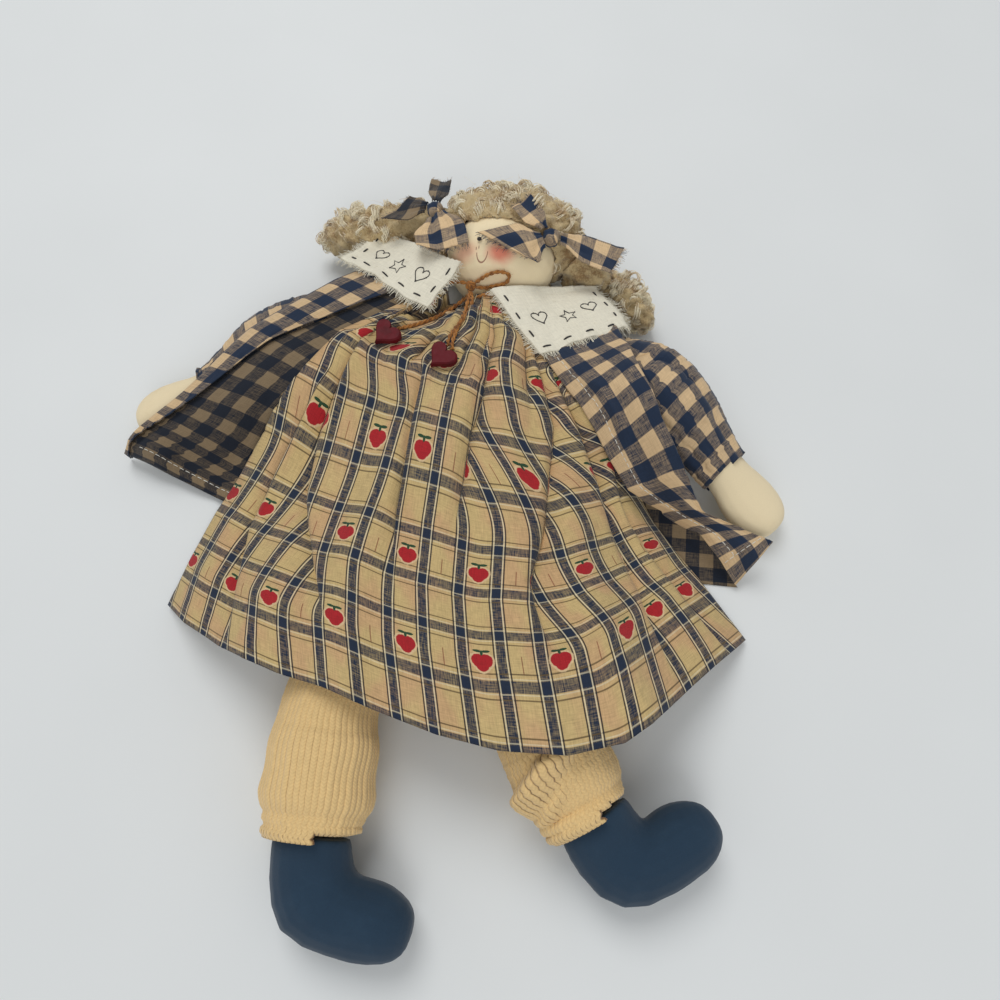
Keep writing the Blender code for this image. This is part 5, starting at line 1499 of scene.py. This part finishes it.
# Painted shade: the grooves between the ribs, and faintly the gaps between the loops, are painted darker.
rib_groove_shade = u.about(RIB / 2, RIB).maths("ABSOLUTE").fade(0.26 * RIB, 0.06 * RIB)
lean = (u.about(RIB / 2, RIB).maths("ABSOLUTE") * 1.4 + v).about(0, KNIT_STITCH).maths("ABSOLUTE")
loops = lean.fade(0.1 * KNIT_STITCH, 0.5 * KNIT_STITCH)
heather = cut_place.stretched(HEATHER).speck(3, 0.7)
tint = knit.mix(rib_groove_shade * 0.9 + 0.1 * loops, KNIT, KNIT_GROOVE_SHADE)
knit.feed("Base Color", knit.darken(tint, 0.82 + 0.36 * heather))
knit.bump(loops * 0.3 + heather * 0.6, KNIT_BUMP, 0.8)

for side in ("right", "left"):
    leg = "leg_" + side
    tube = Round("stocking_" + side, joint_places[leg], KNIT_ROWS, KNIT_COLUMNS, MOUTH_REACH)
    share = np.linspace(0, 1, KNIT_ROWS)[:, None]
    turn = tube.turns[None]
    full = tube.radii.copy()
    last_full = int(0.86 * KNIT_ROWS)
    full[last_full:] = full[last_full]
    mouth = MOUTH_RADII[side] * (1 - 0.12 * np.sin(turn) ** 2)
    radii = full + (mouth - full) * ease((share - 0.93) / 0.07) ** 1.4
    if side == "left":
        fold_at = 0.47 + 0.2 * np.cos(turn)
        before, past = np.maximum(fold_at - share, 0), np.maximum(share - fold_at, 0)
        roll = np.exp(-((before / 0.035) ** 2) - (past / 0.1) ** 2)
        tuck = np.exp(-(((share - fold_at - 0.19) / 0.04) ** 2)) * np.clip(np.cos(turn - 0.3), 0, 1) ** 2
        drawn_in = ease((share - fold_at - 0.08) / 0.1) * ease((0.95 - share) / 0.1)
        raised = (ROLL_RISE * roll + TUCK_RISE * tuck) * ease((share - HEM_SHARE) / 0.15)
        radii = radii + (raised - DRAWN_IN * drawn_in) * ease((np.sin(turn) + 0.4) / 0.7)
    else:
        bulge = np.exp(-(((share - 0.8) / 0.1) ** 2)) + 0.6 * np.exp(-(((share - 0.52) / 0.1) ** 2))
        radii = radii + SLOUCH_RISE * bulge * (0.5 + 0.5 * np.abs(np.cos(turn)))
    radii = radii + KNIT_RIPPLE * np.sin(9 * share + 2 * turn) * ease(share / 0.2)
    radii = np.minimum(radii, tube.radii + SLACK * ease((share - HEM_SHARE) / 0.2))
    ribs = round(2 * math.pi * np.median(radii) / RIB)
    rib_wave = np.abs(np.cos(ribs * (turn + math.pi / 2) / 2)) ** 0.55
    radii = radii + RIB_DEPTH * (rib_wave - 1) * (1 - 0.7 * ease((share - 0.9) / 0.1))
    cut = tube.cut(radii)
    cut[..., 0] = (tube.turns[None] + math.pi / 2) / (2 * math.pi) * ribs * RIB
    made = sheet("stocking_" + side + "_knit", tube.places(radii), cut, KNIT_THICKNESS, knit, wrapped=True)
    bind(made, leg, "rib_knit", "stocking_" + side)


# The shoes: stuffed feet of plain navy cotton, sewn round the edge and drawn in at the seam.
SHOE_NAVY = colour(24, 52, 74)
SHOE_FADED = colour(34, 62, 84)
SHOE_VOXEL = 1.1 * MM
SHOE_WEAR, SHOE_THREADS = 70, 2400
SHOE_BUMP = 0.12 * MM
SHOE_PUCKER, SHOE_SEAM, SHOE_SWELL = 0.15 * MM, 0.35 * MM, 0.2 * MM
shoe_cotton = Finish("navy_cotton", Roughness=0.88, Sheen_Weight=0.15)
place = shoe_cotton.place()
worn = place.specks(SHOE_WEAR, 4, 0.6)
thread = place.specks(SHOE_THREADS, 1)
tint = shoe_cotton.mix(worn.fade(0.45, 0.75) * 0.4, SHOE_NAVY, SHOE_FADED)
shoe_cotton.feed("Base Color", shoe_cotton.darken(tint, 0.8 + 0.4 * thread))
shoe_cotton.bump(thread + worn * 2, SHOE_BUMP, 0.6)


def sewn(at, normal):
    """A seam drawn in round the edge, puckered, and a slight swell elsewhere."""
    seam = max(0, 1 - abs(normal.z) * 4)
    pucker = math.sin(at.x * 1100 + at.y * 700) * math.sin(at.y * 1300 - at.x * 400)
    swell = math.sin(at.x * 260) * math.sin(at.y * 240)
    return SHOE_PUCKER * seam * pucker - SHOE_SEAM * seam + SHOE_SWELL * swell


for side in ("right", "left"):
    made = skin("shoe_" + side + "_cotton", "shoe_" + side, SHOE_VOXEL, shoe_cotton, sewn)
    bind(made, "leg_" + side, "navy_cotton", "shoe_" + side)


# The bows: torn strips of the jacket's check tied round the bunches, with frayed ends.
BOW_KNOT_RADIUS = 5 * MM
BOW_KNOTS = {"right": (-41 * MM, 127 * MM), "left": (28 * MM, 108 * MM)}
LEAVES = (
    ("bow_right_lower", "right", -74, 24 * MM, 29 * MM, -0.2),
    ("bow_right_outer", "right", 170, 20 * MM, 18 * MM, -0.3),
    ("bow_right_tip", "right", 92, 25 * MM, 12 * MM, 0),
    ("bow_left_face", "left", 207, 21 * MM, 25 * MM, 0.6),
    ("bow_left_upper", "left", 138, 20 * MM, 14 * MM, 0),
    ("bow_left_outer", "left", -2, 34 * MM, 19 * MM, -0.1),
)
TURNED_OVER_SHADED = ("bow_right_tip", "bow_right_outer")
LEAF_ROWS, LEAF_COLUMNS = 34, 26
LEAF_GAP = 0.3 * MM
LEAF_LIFT = 1 * MM
LEAF_CREASE = 1.6 * MM
SIDE_CURL, END_CURL = 1.2 * MM, 1.4 * MM
LEAF_SHIFT = 3 * MM
RIBBON_CLOTH = 0.45 * MM
KNOT_VOXEL = 0.6 * MM
KNOT_CREASE = 0.7 * MM
FRAY_NAVY = colour(52, 62, 84)
NAVY_FUZZ = 420
END_FRAY = ((1.5 * MM, 4 * MM), 0.35 * MM, 0.11 * MM)
SIDE_FRAY = ((0.4 * MM, 1.2 * MM), 0.9 * MM, 0.09 * MM)
navy_yarn = Finish("navy_yarn", Roughness=0.95, Sheen_Weight=0.2)
shade = navy_yarn.place().specks(NAVY_FUZZ).fade(0.4, 0.62)
navy_yarn.feed("Base Color", navy_yarn.mix(shade, FRAY_NAVY, CHECK_TAN))

for name, side, heading, length, width, skew in LEAVES:
    way = np.array((math.cos(math.radians(heading)), math.sin(math.radians(heading))))
    aside = np.array((-way[1], way[0]))
    share = np.linspace(0, 1, LEAF_ROWS)[:, None]
    across = np.linspace(-0.5, 0.5, LEAF_COLUMNS)[None]
    spread = 0.42 + 0.58 * ease(2.2 * share)
    start = np.array(BOW_KNOTS[side]) + way * (BOW_KNOT_RADIUS + LEAF_GAP)
    run = length * share * (1 - skew * 2 * across * share)
    plan = start + way * run[..., None] + aside * (across * width * spread)[..., None]
    surface = smoothed(lifted(plan, Surface(name).tops(plan), LEAF_LIFT, "head"), 3)
    creases = LEAF_CREASE * crest(across + 0.5, 3, 0.8) * (1 - ease(share / 0.75))
    curl = SIDE_CURL * (2 * across) ** 4 * share
    curl = curl + END_CURL * np.sin(3.4 * share + 4 * across) ** 2 * share
    leaf = np.dstack((plan, surface + creases + curl))
    cut = np.dstack((across * width + 0 * share + LEAF_SHIFT, length * share + 0 * across))
    # Painted shade: the turned-over leaves get the check painted darker as shade, the others the check
    # painted lighter as light.
    cloth = check_inside if name in TURNED_OVER_SHADED else check_bow
    made = bind(sheet(name + "_strip", leaf, cut, RIBBON_CLOTH, cloth), "head", "check", name)
    chance = random.Random(heading)
    yarn = Threads(4)
    fray(leaf[-1], leaf[-4], chance, yarn, *END_FRAY)
    fray(leaf[8:, 0], leaf[8:, 3], chance, yarn, *SIDE_FRAY)
    fray(leaf[8:, -1], leaf[8:, -4], chance, yarn, *SIDE_FRAY)
    yarn.made(name + "_fray", navy_yarn, "head", "check")


def knotted(at, normal):
    """The knot's creases."""
    return KNOT_CREASE * abs(math.sin(at.x * 900 + at.y * 500)) * abs(math.sin(at.y * 700))


for side in ("right", "left"):
    name = "bow_" + side + "_knot"
    made = skin(name + "_wrap", name, KNOT_VOXEL, check_bow, knotted)
    spots = made.data.attributes.new("cut", "FLOAT_VECTOR", "POINT")
    low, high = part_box(name)
    for corner, spot in zip(made.data.vertices, spots.data):
        out = corner.co - (low + high) / 2
        spot.vector = (out.x + 0.5 * out.z, out.y - 0.5 * out.z, 0)
    bind(made, "head", "check", name)
